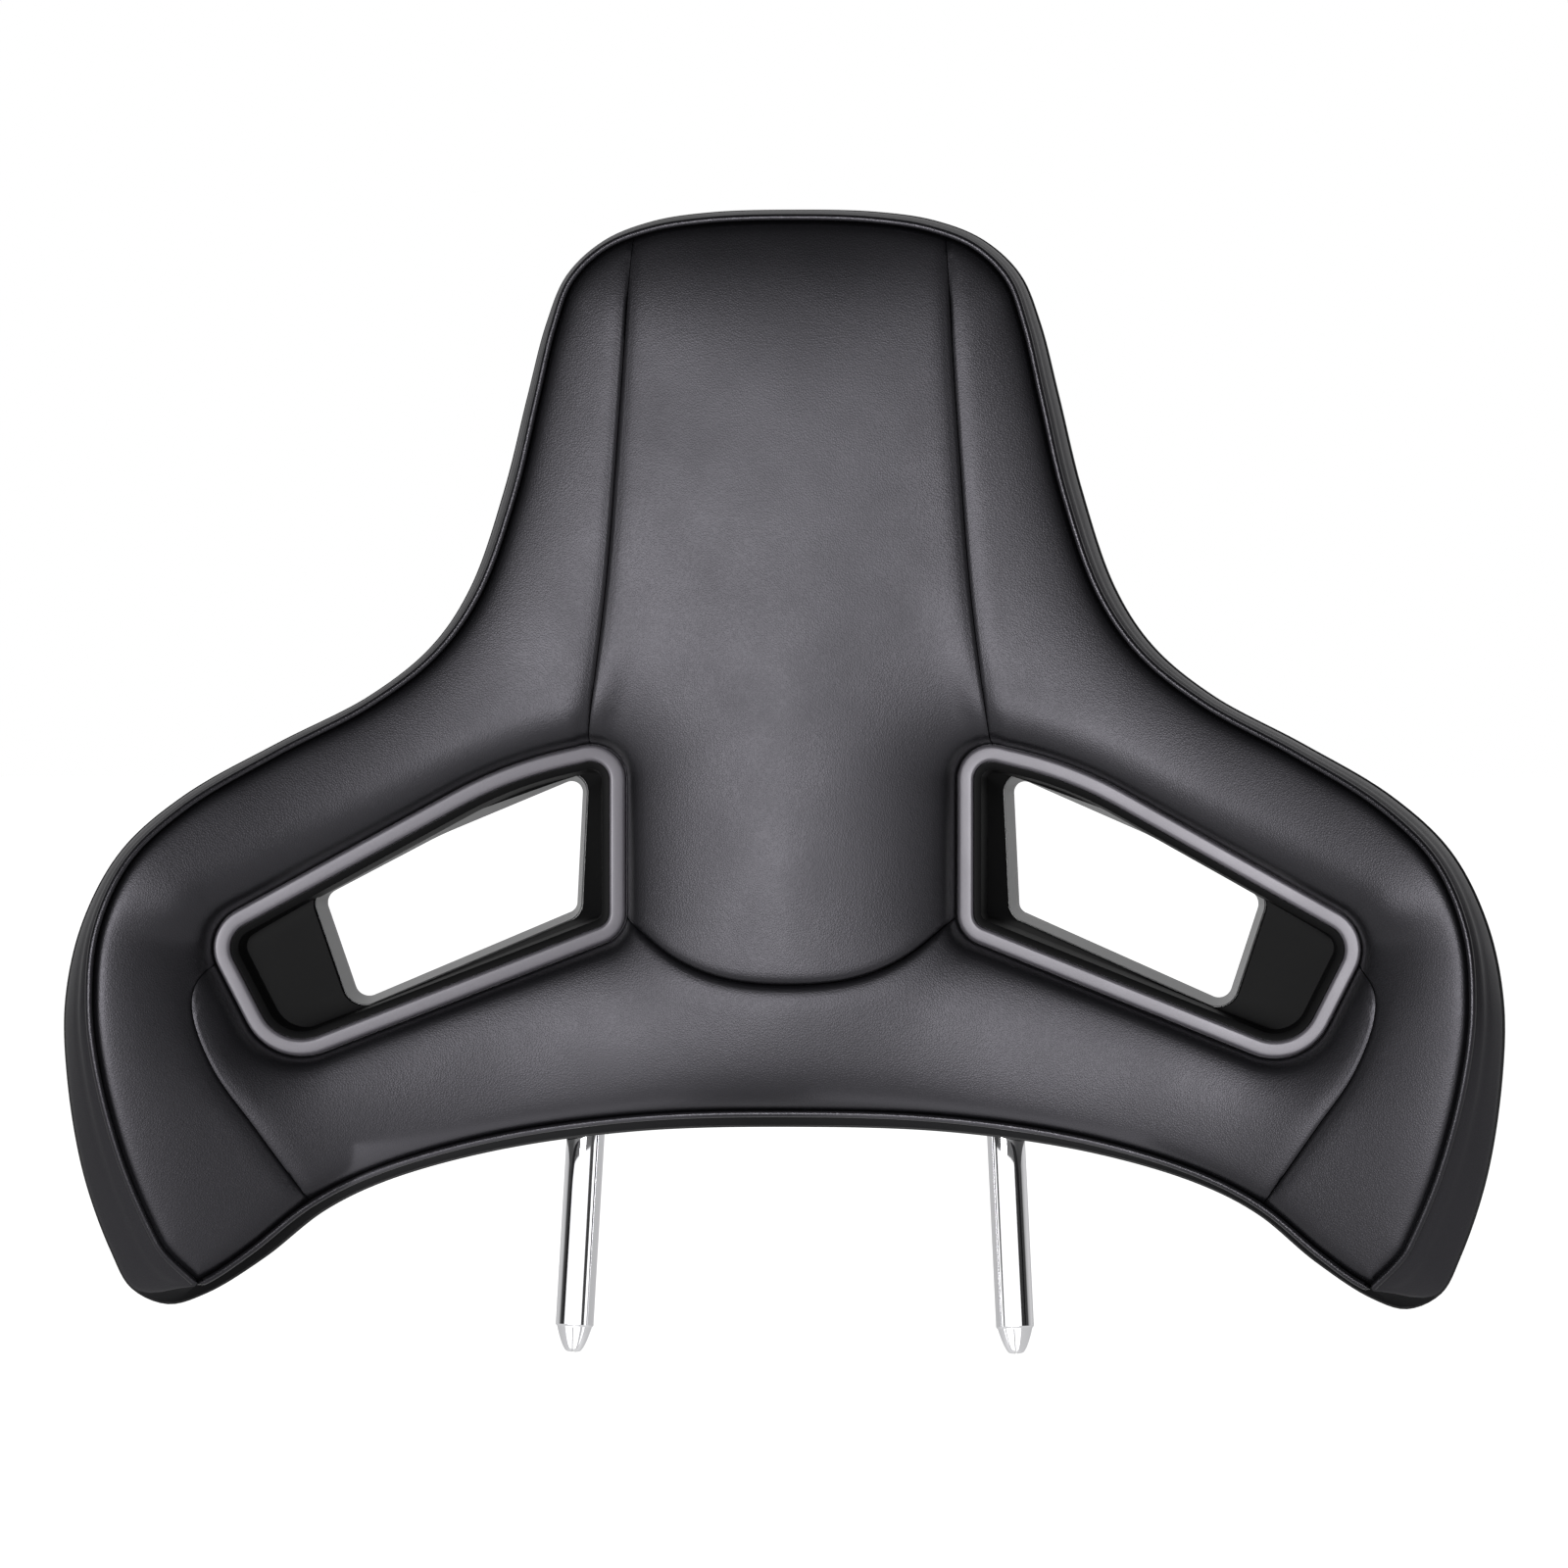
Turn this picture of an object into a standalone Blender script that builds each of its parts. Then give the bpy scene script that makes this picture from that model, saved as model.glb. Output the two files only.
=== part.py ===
"""Winged head restraint of a sports seat: padded leather front, two framed openings, bent steel hoop.

Frame: +X to the sitter's left as seen from the front (picture right), -Y towards the viewer, +Z up.
The origin lies midway between the end faces of the two posts. Sizes below are in millimetres.
"""
import math

import bmesh
import bpy
import numpy as np
from mathutils import Matrix, Vector
from mathutils.geometry import delaunay_2d_cdt

MM = 0.001
GAP = 0.3

# Outline of the rear edge, right half, from the top centre clockwise: x, z, and how far the
# front piping line lies inside it
OUTLINE = [
    (0.0, 421.3, 3.4),
    (30.0, 420.5, 3.6),
    (52.1, 417.2, 3.7),
    (70.1, 410.0, 3.7),
    (83.7, 397.3, 4.1),
    (91.1, 379.7, 4.7),
    (98.1, 352.5, 5.3),
    (106.6, 318.0, 5.7),
    (119.0, 281.9, 5.3),
    (133.1, 260.5, 4.5),
    (155.2, 242.5, 3.9),
    (188.7, 224.8, 4.2),
    (221.4, 205.8, 5.1),
    (243.0, 186.0, 6.1),
    (256.3, 160.4, 7.8),
    (262.4, 131.9, 10.9),
    (261.9, 103.4, 13.2),
    (256.3, 67.6, 16.5),
    (246.8, 38.9, 18.3),
    (239.0, 26.7, 16.0),
    (226.6, 21.7, 7.0),
    (213.3, 24.2, 5.1),
    (192.9, 36.7, 4.7),
    (171.7, 53.8, 4.8),
    (149.6, 64.8, 5.0),
    (109.5, 76.0, 5.7),
    (57.5, 83.0, 6.2),
    (0.0, 84.8, 6.6),
]
TIP_SLIDE = 9.0

# Depths: the rim is the rear edge of the side band, the wings sweep forward from it
RIM_BACK = -4.0
WING_SWEEP = 60.0
SWEEP_SPAN = 265.0
SWEEP_POWER = 2.5
BAND_DEPTH = 18.0
BAND_DEPTH_WING = 4.0

# Cover and padding
LEATHER = 1.5
COVER_FLARE = 0.06
FLARE_FADE = 34.0
EDGE_CROWN = 7.0
EDGE_CROWN_WIDTH = 34.0
CENTRE_BULGE = 6.0
CENTRE_BULGE_WIDTH = 55.0
SEAM_GAP = 0.5
SEAM_DIP = 3.0
SEAM_DIP_WIDTH = 6.0
SEAM_OVERRUN = 12.0
ARC_DIP = 9.0
ARC_DIP_WIDTH = 17.0
PIPING_DIAMETER = 3.2

# Seams of the front cover, right half: x, z
CENTRE_SEAM = [(57.5, 418.3), (58.5, 404.1), (59.9, 376.7), (63.0, 331.1), (66.8, 283.1), (74.2, 223.2)]
ARC_SEAM = [(60.6, 160.9), (42.2, 145.1), (24.1, 137.3), (0.0, 134.7)]
WING_SEAM = [(207.6, 146.5), (215.2, 136.0), (215.5, 125.1), (208.1, 105.4), (193.9, 84.7), (171.8, 53.2)]

# Openings: corners of the bezel outline with their radii, right side, counter-clockwise from the top
BEZEL_CORNERS = [
    (105.2, 217.1, 36.0),
    (61.2, 227.5, 12.6),
    (61.2, 154.6, 11.6),
    (189.1, 104.6, 22.0),
    (215.2, 156.3, 15.5),
]
BEZEL_INNER_LIFT = 9.5
BEZEL_OUTER_LIFT = 5.7
BEZEL_WIDTH = 8.7
BEZEL_FACE_EDGE = 1.9
BEZEL_HEIGHT = 4.0
BEZEL_COLLAR_DEPTH = 7.0
BEZEL_COLLAR = 1.8
BEZEL_HALO = 11.0
COVER_TUCK = 6.4

# Corners of the opening through the rear shell, right side, in the same order
REAR_CORNERS = [
    (131.3, 190.8, 60.0),
    (79.8, 212.8, 4.0),
    (82.2, 163.2, 4.0),
    (159.8, 129.9, 5.0),
    (172.6, 168.5, 5.0),
]
TUNNEL_WALL = 1.8
TUNNEL_STEP_DEPTH = 15.0
TUNNEL_STEP_DRAFT = 1.2
TUNNEL_PROUD = 0.6

# Rear shell
SHELL_WALL = 2.5
SHELL_CROWN = 11.5
SHELL_CROWN_CENTRE = 27.0
SHELL_CENTRE_WIDTH = 105.0
SHELL_CROWN_EDGE = 34.0
SHELL_SKIRT = 6.0
POST_SKIRT = 25.0
POST_SKIRT_HALF = 104.0
POST_SKIRT_BLEND = 34.0
POST_SKIRT_TOP = 130.0
POST_SKIRT_FADE = 30.0
SHELL_BEVEL = 2.5
SHELL_INNER_FADE = 22.0
SHELL_WALL_SHARE = 0.8

# Front carrier that the padding is moulded on
CARRIER_WALL = 2.5
CARRIER_INSET = 2.1
CARRIER_FLARE = 0.78
CARRIER_RIM_GAP = 0.7
CARRIER_BEZEL_DEPTH = 10.5
CARRIER_BEZEL_REACH = 24.0

# Bent steel hoop whose lower ends are the two posts
POST_DIAMETER = 14.0
POST_TIP_SPACING = 164.0
POST_SPLAY = math.radians(3.0)
POST_LEAN = math.radians(4.0)
POST_TIP_LENGTH = 10.0
POST_TIP_END = 2.6
JOG_START = 116.0
JOG_END = 174.0
HOOP_HALF_WIDTH = 42.0
HOOP_TOP = 334.0
HOOP_DEPTH = 13.0
JOG_RADIUS = 38.0
HOOP_RADIUS = 30.0

# Stamped plate, saddle clamps and screws that tie the hoop to the carrier
PLATE_THICKNESS = 1.5
PLATE_BELOW_CLAMP = 76.0
PLATE_ABOVE_CLAMP = 40.0
PLATE_HOLE_RADIUS = 13.0
PLATE_HOLE_PITCH = 36.0
PLATE_CORNER = 5.0
CLAMP_BELOW_BEND = 23.0
CLAMP_WIDTH = 18.0
CLAMP_THICKNESS = 2.0
CLAMP_EAR = 12.0
SCREW_DIAMETER = 4.0
SCREW_HEAD = 8.0
SCREW_HEAD_HEIGHT = 2.6
SCREW_ENGAGEMENT = 6.0
PILOT_TIP_ROOM = 1.0
BOSS_DIAMETER = 11.0
HOLE_CLEARANCE = 0.3

# Collars that carry the posts through the underside of the shell
GROMMET_WALL = 1.6
GROMMET_LENGTH = 20.0
GROMMET_PROUD = 1.0
POST_HOLE_LENGTH = 60.0

# Mesh density
EDGE_PITCH = 19.0
NET_PITCH = 26.0
COARSE_PITCH = 34.0
EDGE_RING = 10.0
BEZEL_RING = 9.0
SHELL_RING = 14.0
RING_CLEARANCE = 3.0
RING_APART = 6.0
CORNER_STEPS = 3
HOOP_STEP = 11.0
PIPING_SIDES = 5
TUBE_SIDES = 14
ROUND_SIDES = 10
CUT_REACH = 5.0

LEATHER_BLACK = (0.012, 0.012, 0.014)
BEZEL_GREY = (0.16, 0.155, 0.165)


def clear_scene():
    for item in list(bpy.data.objects):
        bpy.data.objects.remove(item, do_unlink=True)


def material(name, colour, roughness, metallic=0.0):
    mat = bpy.data.materials.new(name)
    mat.use_nodes = True
    shader = mat.node_tree.nodes["Principled BSDF"]
    shader.inputs["Base Color"].default_value = (*colour, 1.0)
    shader.inputs["Roughness"].default_value = roughness
    shader.inputs["Metallic"].default_value = metallic
    return mat


def add_object(name, verts, faces, mat):
    """Closed mesh from millimetre points, with its faces turned outwards."""
    mesh = bpy.data.meshes.new(name)
    mesh.from_pydata([tuple(c * MM for c in v) for v in verts], [], [tuple(f) for f in faces])
    shape = bmesh.new()
    shape.from_mesh(mesh)
    bmesh.ops.remove_doubles(shape, verts=shape.verts, dist=0.002 * MM)
    bmesh.ops.recalc_face_normals(shape, faces=shape.faces)
    if shape.calc_volume(signed=True) < 0:
        bmesh.ops.reverse_faces(shape, faces=shape.faces)
    shape.to_mesh(mesh)
    shape.free()
    mesh.materials.append(mat)
    mesh.shade_smooth()
    mesh.set_sharp_from_angle(angle=math.radians(35.0))
    item = bpy.data.objects.new(name, mesh)
    bpy.context.collection.objects.link(item)
    return item


def add_boolean(item, cutter, operation="DIFFERENCE"):
    cutter.hide_render = True
    cutter.display_type = "WIRE"
    step = item.modifiers.new(operation.title(), "BOOLEAN")
    step.operation = operation
    step.solver = "EXACT"
    step.object = cutter


# Planar curves in the front view

def spline_point(points, u):
    """Centripetal Catmull-Rom curve through points, at station u."""
    last = len(points) - 1
    i = min(int(u), last - 1)
    p1, p2 = points[i], points[i + 1]
    p0 = points[i - 1] if i > 0 else 2 * p1 - p2
    p3 = points[i + 2] if i + 2 <= last else 2 * p2 - p1
    t1 = math.sqrt(np.linalg.norm(p1 - p0))
    t2 = t1 + math.sqrt(np.linalg.norm(p2 - p1))
    t3 = t2 + math.sqrt(np.linalg.norm(p3 - p2))
    t = t1 + (t2 - t1) * (u - i)
    a1 = (t1 - t) / t1 * p0 + t / t1 * p1
    a2 = (t2 - t) / (t2 - t1) * p1 + (t - t1) / (t2 - t1) * p2
    a3 = (t3 - t) / (t3 - t2) * p2 + (t - t2) / (t3 - t2) * p3
    b1 = (t2 - t) / t2 * a1 + t / t2 * a2
    b2 = (t3 - t) / (t3 - t1) * a2 + (t - t1) / (t3 - t1) * a3
    return (t2 - t) / (t2 - t1) * b1 + (t - t1) / (t2 - t1) * b2


def with_mirrored_ends(points):
    """Adds one mirrored point at each end that lies on the centre line, for a level tangent there."""
    first = points[1] * [-1, 1]
    last = points[-2] * [-1, 1]
    return np.vstack([first, points, last])


def spline_run(points, pitch):
    """Points about pitch apart along the curve through all given points."""
    points = np.array(points, float)
    run = []
    for i in range(len(points) - 1):
        count = max(1, math.ceil(np.linalg.norm(points[i + 1] - points[i]) / pitch))
        run += [spline_point(points, i + k / count) for k in range(count)]
    return np.array(run + [points[-1]])


def rounded_polygon(corners, side_counts):
    """Closed loop of corner arcs and straight sides; corners are x, z, radius."""
    count = len(corners)
    arcs = []
    for i in range(count):
        a, b, c = (np.array(corners[(i + k) % count][:2], float) for k in (-1, 0, 1))
        radius = corners[i][2]
        to_a = (a - b) / np.linalg.norm(a - b)
        to_c = (c - b) / np.linalg.norm(c - b)
        half = math.acos(np.clip(to_a @ to_c, -1, 1)) / 2
        bisector = (to_a + to_c) / np.linalg.norm(to_a + to_c)
        centre = b + bisector * radius / math.sin(half)
        start = b + to_a * radius / math.tan(half) - centre
        end = b + to_c * radius / math.tan(half) - centre
        first = math.atan2(start[1], start[0])
        turn = (math.atan2(end[1], end[0]) - first + math.pi) % (2 * math.pi) - math.pi
        angles = [first + turn * k / CORNER_STEPS for k in range(CORNER_STEPS + 1)]
        arcs.append([centre + radius * np.array([math.cos(g), math.sin(g)]) for g in angles])
    loop = []
    for i, arc in enumerate(arcs):
        loop += arc
        after = arcs[(i + 1) % count][0]
        loop += [arc[-1] + (after - arc[-1]) * k / side_counts[i] for k in range(1, side_counts[i])]
    return np.array(loop)


def side_steps(corners, pitch):
    """Number of steps along the side that follows each corner."""
    points = np.array([c[:2] for c in corners])
    lengths = np.linalg.norm(np.roll(points, -1, axis=0) - points, axis=1)
    return [max(1, round(length / pitch) - 1) for length in lengths]


def signed_area(loop):
    x, z = loop[:, 0], loop[:, 1]
    return 0.5 * float(np.sum(x * np.roll(z, -1) - np.roll(x, -1) * z))


def inward_normals(loop):
    """Inward direction at each point, longer at a corner so that an inset keeps its width."""
    edge = np.roll(loop, -1, axis=0) - loop
    edge /= np.linalg.norm(edge, axis=1)[:, None]
    side = 1.0 if signed_area(loop) > 0 else -1.0
    after = np.stack([-edge[:, 1], edge[:, 0]], axis=1) * side
    before = np.roll(after, 1, axis=0)
    share = 1 + (after * before).sum(1)
    return (after + before) / np.maximum(share, 0.5)[:, None]


def inset_loop(loop, distance):
    return loop + inward_normals(loop) * distance


def mirrored(loop):
    return np.array(loop)[::-1] * [-1, 1]


def distance_to(points, line, closed=False):
    """Shortest distance from each point to a polyline."""
    points = np.atleast_2d(points)
    start = line if closed else line[:-1]
    end = np.roll(line, -1, axis=0) if closed else line[1:]
    edge = end - start
    away = points[:, None, :] - start[None]
    share = np.clip((away * edge[None]).sum(2) / (edge * edge).sum(1)[None], 0, 1)
    gap = away - share[..., None] * edge[None]
    return np.sqrt((gap * gap).sum(2)).min(1)


def inside(points, loop):
    points = np.atleast_2d(points)
    x, z = points[:, 0][:, None], points[:, 1][:, None]
    x1, z1 = loop[:, 0][None], loop[:, 1][None]
    x2, z2 = np.roll(loop, -1, axis=0).T[:, None]
    crosses = ((z1 > z) != (z2 > z)) & (x < (x2 - x1) * (z - z1) / (z2 - z1 + 1e-12) + x1)
    return crosses.sum(1) % 2 == 1


def outline_loops():
    """Matched loops of the rear edge and the front piping line, the half's stations, the tip's station."""
    rows = np.array(OUTLINE)
    rear = rows[:, :2]
    tip = int(np.argmin(rear[:, 1]))
    half = with_mirrored_ends(rear)
    step = 0.02
    front = []
    for i in range(len(rear)):
        along = spline_point(half, i + 1 + step) - spline_point(half, i + 1 - step)
        along /= np.linalg.norm(along)
        inward = np.array([along[1], -along[0]])
        point = rear[i] + inward * rows[i, 2]
        if i == tip:
            point = point + along * TIP_SLIDE
        front.append(point)
    front = np.array(front)
    upper = np.vstack([front[1] * [-1, 1], front[:tip + 1]])
    lower = np.vstack([front[tip:], front[-2] * [-1, 1]])
    stations = []
    for i in range(len(rear) - 1):
        count = max(1, math.ceil(np.linalg.norm(rear[i + 1] - rear[i]) / EDGE_PITCH))
        stations += [i + k / count for k in range(count)]
    stations.append(float(len(rear) - 1))
    rear_half = [spline_point(half, u + 1) for u in stations]
    front_half = []
    for u in stations:
        if u <= tip:
            front_half.append(spline_point(upper, u + 1))
        else:
            front_half.append(spline_point(lower, u - tip))
    left = [i for i in range(len(stations) - 2, 0, -1)]
    rear_loop = np.array(rear_half + [rear_half[i] * [-1, 1] for i in left])
    front_loop = np.array(front_half + [front_half[i] * [-1, 1] for i in left])
    return rear_loop, front_loop, stations, stations.index(float(tip))


# Depth surfaces

def rim_y(x):
    return RIM_BACK - WING_SWEEP * (np.abs(x) / SWEEP_SPAN) ** SWEEP_POWER


def piping_y(x):
    return rim_y(x) - BAND_DEPTH - BAND_DEPTH_WING * (np.abs(x) / SWEEP_SPAN) ** 2


def bezel_y(x):
    """Flat face of the bezels, from one lift off the rim at the inner end to another at the outer end."""
    inner_x, outer_x = BEZEL_CORNERS[1][0], BEZEL_CORNERS[4][0]
    inner_y, outer_y = rim_y(inner_x) - BEZEL_INNER_LIFT, rim_y(outer_x) - BEZEL_OUTER_LIFT
    return inner_y + (outer_y - inner_y) * (np.abs(x) - inner_x) / (outer_x - inner_x)


def crown_share(distance, width, power=2.3):
    return 1 - (1 - np.clip(distance / width, 0, 1)) ** power


class Form:
    """The shared curves of the head restraint in its front view."""

    def __init__(self):
        self.rear, self.front, self.stations, self.tip = outline_loops()
        steps = side_steps(BEZEL_CORNERS, EDGE_PITCH)
        self.bezel = rounded_polygon(BEZEL_CORNERS, steps)
        self.seat = inset_loop(self.bezel, -GAP)
        self.opening = rounded_polygon(REAR_CORNERS, steps)
        self.centre_seam = spline_run(CENTRE_SEAM, EDGE_PITCH)
        self.arc_seam = spline_run(ARC_SEAM, EDGE_PITCH)
        self.wing_seam = spline_run(WING_SEAM, EDGE_PITCH)
        self.flare = self.rear - self.front
        self.inward = inward_normals(self.front)

    def halves(self, points):
        return np.abs(points[:, 0]), np.column_stack([np.abs(points[:, 0]), points[:, 1]])

    def bezel_distance(self, points):
        _, right = self.halves(points)
        gap = distance_to(right, self.seat, closed=True)
        return np.where(inside(right, self.seat), 0.0, gap)

    def front_y(self, points):
        """Outer face of the leather cover."""
        x, right = self.halves(points)
        edge = distance_to(points, self.front, closed=True)
        y = piping_y(x) - EDGE_CROWN * crown_share(edge, EDGE_CROWN_WIDTH)
        y -= CENTRE_BULGE * np.exp(-(x / CENTRE_BULGE_WIDTH) ** 2) * crown_share(edge, EDGE_CROWN_WIDTH)
        arc = distance_to(right, self.arc_seam)
        y += ARC_DIP * np.exp(-(arc / ARC_DIP_WIDTH) ** 2)
        for seam in (self.centre_seam, self.wing_seam):
            share = np.exp(-(distance_to(right, seam) / SEAM_DIP_WIDTH) ** 2)
            y += SEAM_DIP * share * crown_share(edge, SEAM_DIP_WIDTH)
        seat = bezel_y(x) + BEZEL_HEIGHT + GAP
        near = np.exp(-(self.bezel_distance(points) / BEZEL_HALO) ** 2)
        return y * (1 - near) + seat * near

    def carrier_y(self, points):
        """Front face of the carrier, which stays behind the bezels."""
        x, _ = self.halves(points)
        level = rim_y(x) - CARRIER_RIM_GAP - CARRIER_WALL
        behind = np.maximum(level, bezel_y(x) + CARRIER_BEZEL_DEPTH)
        near = 1 - crown_share(self.bezel_distance(points), CARRIER_BEZEL_REACH, 2.0)
        return level * (1 - near) + behind * near

    def skirt(self, points):
        """Depth of the shell's side wall: deeper below, where the posts pass through it."""
        x, _ = self.halves(points)
        share = np.clip((POST_SKIRT_HALF + POST_SKIRT_BLEND - x) / POST_SKIRT_BLEND, 0, 1)
        share = share * share * (3 - 2 * share)
        low = np.clip((POST_SKIRT_TOP - points[:, 1]) / POST_SKIRT_FADE, 0, 1)
        return SHELL_SKIRT + (POST_SKIRT - SHELL_SKIRT) * share * low

    def shell_y(self, points):
        """Outer face of the rear shell."""
        x, _ = self.halves(points)
        crown = SHELL_CROWN + SHELL_CROWN_CENTRE * np.exp(-(x / SHELL_CENTRE_WIDTH) ** 2)
        edge = distance_to(points, self.rear, closed=True) - SHELL_BEVEL
        skirt = np.minimum(self.skirt(points), crown - 1.0)
        return rim_y(x) + skirt + (crown - skirt) * crown_share(edge, SHELL_CROWN_EDGE)

    def place(self, points, flare, inset):
        """Moves front-view points out towards the rear outline and in from the edge, near the edge."""
        gap = points[:, None, :] - self.front[None]
        square = (gap * gap).sum(2) + 0.5
        weight = square ** -2
        weight /= weight.sum(1)[:, None]
        shift = weight @ (self.flare * flare + self.inward * inset)
        edge = np.where(np.sqrt(square.min(1)) < 1.0, 0.0, distance_to(points, self.front, closed=True))
        fade = (1 - np.clip(edge / FLARE_FADE, 0, 1)) ** 2
        return points + shift * fade[:, None]


# Solids from planar nets

def planar_net(loops, lines, spare, pitch):
    """Triangles inside the first closed loop and outside the others, cut along the open lines."""
    points = list(np.vstack(loops + lines))
    edges = []
    start = 0
    for loop in loops:
        edges += [(start + k, start + (k + 1) % len(loop)) for k in range(len(loop))]
        start += len(loop)
    for line in lines:
        edges += [(start + k, start + k + 1) for k in range(len(line) - 1)]
        start += len(line)
    low, high = loops[0].min(0), loops[0].max(0)
    reach = math.ceil(high[0] / pitch)
    row_height = pitch * math.sqrt(0.75)
    grid = []
    for row in range(math.ceil((high[1] - low[1]) / row_height)):
        shift = pitch / 2 * (row % 2)
        grid += [(k * pitch + shift, low[1] + row * row_height) for k in range(-reach - 1, reach + 1)]
    grid = np.array(grid)
    if len(spare):
        spare = spare[clearance(spare, loops, lines) > RING_CLEARANCE]
        spare = thinned(spare, RING_APART)
        apart = np.sqrt(((grid[:, None] - spare[None]) ** 2).sum(2)).min(1)
        grid = grid[apart > pitch * 0.6]
    grid = grid[clearance(grid, loops, lines) > pitch * 0.5]
    points = np.vstack([np.array(points), grid] + ([spare] if len(spare) else []))
    verts, _, faces, _, _, _ = delaunay_2d_cdt([Vector(p) for p in points], edges, [], 0, 1e-5)
    net = np.array([tuple(v) for v in verts])
    tris = np.array([tuple(f) for f in faces])
    middle = net[tris].mean(1)
    keep = inside(middle, loops[0])
    for loop in loops[1:]:
        keep &= ~inside(middle, loop)
    a, b, c = (net[tris[:, k]] for k in range(3))
    area = np.abs((b - a)[:, 0] * (c - a)[:, 1] - (b - a)[:, 1] * (c - a)[:, 0])
    keep &= area > 1e-4
    return net, [tuple(int(i) for i in t) for t in tris[keep]]


def clearance(points, loops, lines):
    gap = np.min([distance_to(points, loop, closed=True) for loop in loops], axis=0)
    for line in lines:
        gap = np.minimum(gap, distance_to(points, line))
    outside = ~inside(points, loops[0])
    for loop in loops[1:]:
        outside |= inside(points, loop)
    return np.where(outside, -1.0, gap)


def thinned(points, apart):
    """Keeps points that are not too close to one kept before."""
    kept = []
    for point in points:
        if all((point[0] - k[0]) ** 2 + (point[1] - k[1]) ** 2 > apart ** 2 for k in kept):
            kept.append(point)
    return np.array(kept)


def boundary_edges(tris):
    seen = {(a, b) for t in tris for a, b in ((t[0], t[1]), (t[1], t[2]), (t[2], t[0]))}
    return [(a, b) for a, b in sorted(seen) if (b, a) not in seen]


def layer(front, back, tris):
    """Closed solid between two faces that share one net."""
    count = len(front)
    faces = [tuple(t) for t in tris]
    faces += [tuple(count + i for i in t[::-1]) for t in tris]
    faces += [(b, a, count + a, count + b) for a, b in boundary_edges(tris)]
    used = sorted({i for f in faces for i in f})
    index = {old: new for new, old in enumerate(used)}
    return np.vstack([front, back])[used], [tuple(index[i] for i in f) for f in faces]


def lifted(points, y):
    return np.column_stack([points[:, 0], np.broadcast_to(y, len(points)), points[:, 1]])


def ring_solid(rings):
    """Closed ring through matched loops, the last joined back to the first."""
    count = len(rings[0])
    faces = []
    for r in range(len(rings)):
        s = (r + 1) % len(rings)
        for k in range(count):
            n = (k + 1) % count
            faces.append((r * count + k, r * count + n, s * count + n, s * count + k))
    return np.vstack(rings), faces


def strip_solid(rows):
    """Band with closed ends: each row is one cross-section, matched point for point."""
    count = len(rows[0])
    faces = []
    for r in range(len(rows) - 1):
        for k in range(count):
            n = (k + 1) % count
            faces.append((r * count + k, r * count + n, (r + 1) * count + n, (r + 1) * count + k))
    faces.append(tuple(reversed(range(count))))
    faces.append(tuple((len(rows) - 1) * count + k for k in range(count)))
    return np.vstack(rows), faces


def sweep_tube(path, radii, sides):
    """Round section carried along a path without twist."""
    path = np.array(path, float)
    tangents = np.gradient(path, axis=0)
    tangents /= np.linalg.norm(tangents, axis=1)[:, None]
    side = np.cross(tangents[0], [0.0, 1.0, 0.0])
    if np.linalg.norm(side) < 0.1:
        side = np.cross(tangents[0], [0.0, 0.0, 1.0])
    rows = []
    for point, along, radius in zip(path, tangents, radii):
        side = side - along * (side @ along)
        side /= np.linalg.norm(side)
        up = np.cross(along, side)
        angles = [2 * math.pi * k / sides for k in range(sides)]
        rows.append([point + radius * (math.cos(a) * side + math.sin(a) * up) for a in angles])
    return strip_solid(rows)


def cylinder(name, start, end, radius, mat, sides=ROUND_SIDES):
    verts, faces = sweep_tube([start, end], [radius, radius], sides)
    return add_object(name, verts, faces, mat)


# Cover and padding

def extended(line, start=None, end=None):
    parts = [line]
    if start is not None:
        parts.insert(0, [start])
    if end is not None:
        parts.append([end])
    return np.vstack(parts)


def seam_lines(form):
    """The seams carried on past the edges that they run into."""
    inner_x = BEZEL_CORNERS[1][0] + BEZEL_WIDTH + SEAM_OVERRUN / 2
    outer_x = BEZEL_CORNERS[4][0] - BEZEL_WIDTH - SEAM_OVERRUN
    first, last = form.centre_seam[0], form.wing_seam[-1]
    centre_end = [inner_x, form.centre_seam[-1][1] - SEAM_OVERRUN]
    centre = extended(form.centre_seam, first + [0.0, SEAM_OVERRUN], centre_end)
    arc = extended(form.arc_seam, start=[inner_x, form.arc_seam[0][1] + SEAM_OVERRUN / 2])
    arc = np.vstack([arc, mirrored(arc)[1:]])
    wing_end = last + [-SEAM_OVERRUN / 2, -SEAM_OVERRUN]
    wing = extended(form.wing_seam, [outer_x, form.wing_seam[0][1]], wing_end)
    return centre, arc, wing


def offset_line(line, distance):
    along = np.gradient(line, axis=0)
    along /= np.linalg.norm(along, axis=1)[:, None]
    return line + np.stack([-along[:, 1], along[:, 0]], axis=1) * distance


def front_net(form):
    """One net for the cover and the face of the padding, cut on both sides of every seam."""
    hole = inset_loop(form.bezel, COVER_TUCK)
    centre, arc, wing = seam_lines(form)
    seams = [centre, mirrored(centre), arc, wing, mirrored(wing)]
    lines = [offset_line(seam, side * SEAM_GAP / 2) for seam in seams for side in (-1, 1)]
    closed = np.vstack([form.seat, form.seat[:1]])
    lines += [closed, mirrored(closed)]
    rings = [inset_loop(form.front, EDGE_RING)]
    rings += [inset_loop(loop, -BEZEL_RING) for loop in (form.bezel, mirrored(form.bezel))]
    net, tris = planar_net([form.front, hole, mirrored(hole)], lines, np.vstack(rings), NET_PITCH)
    return net, tris, seams


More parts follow.
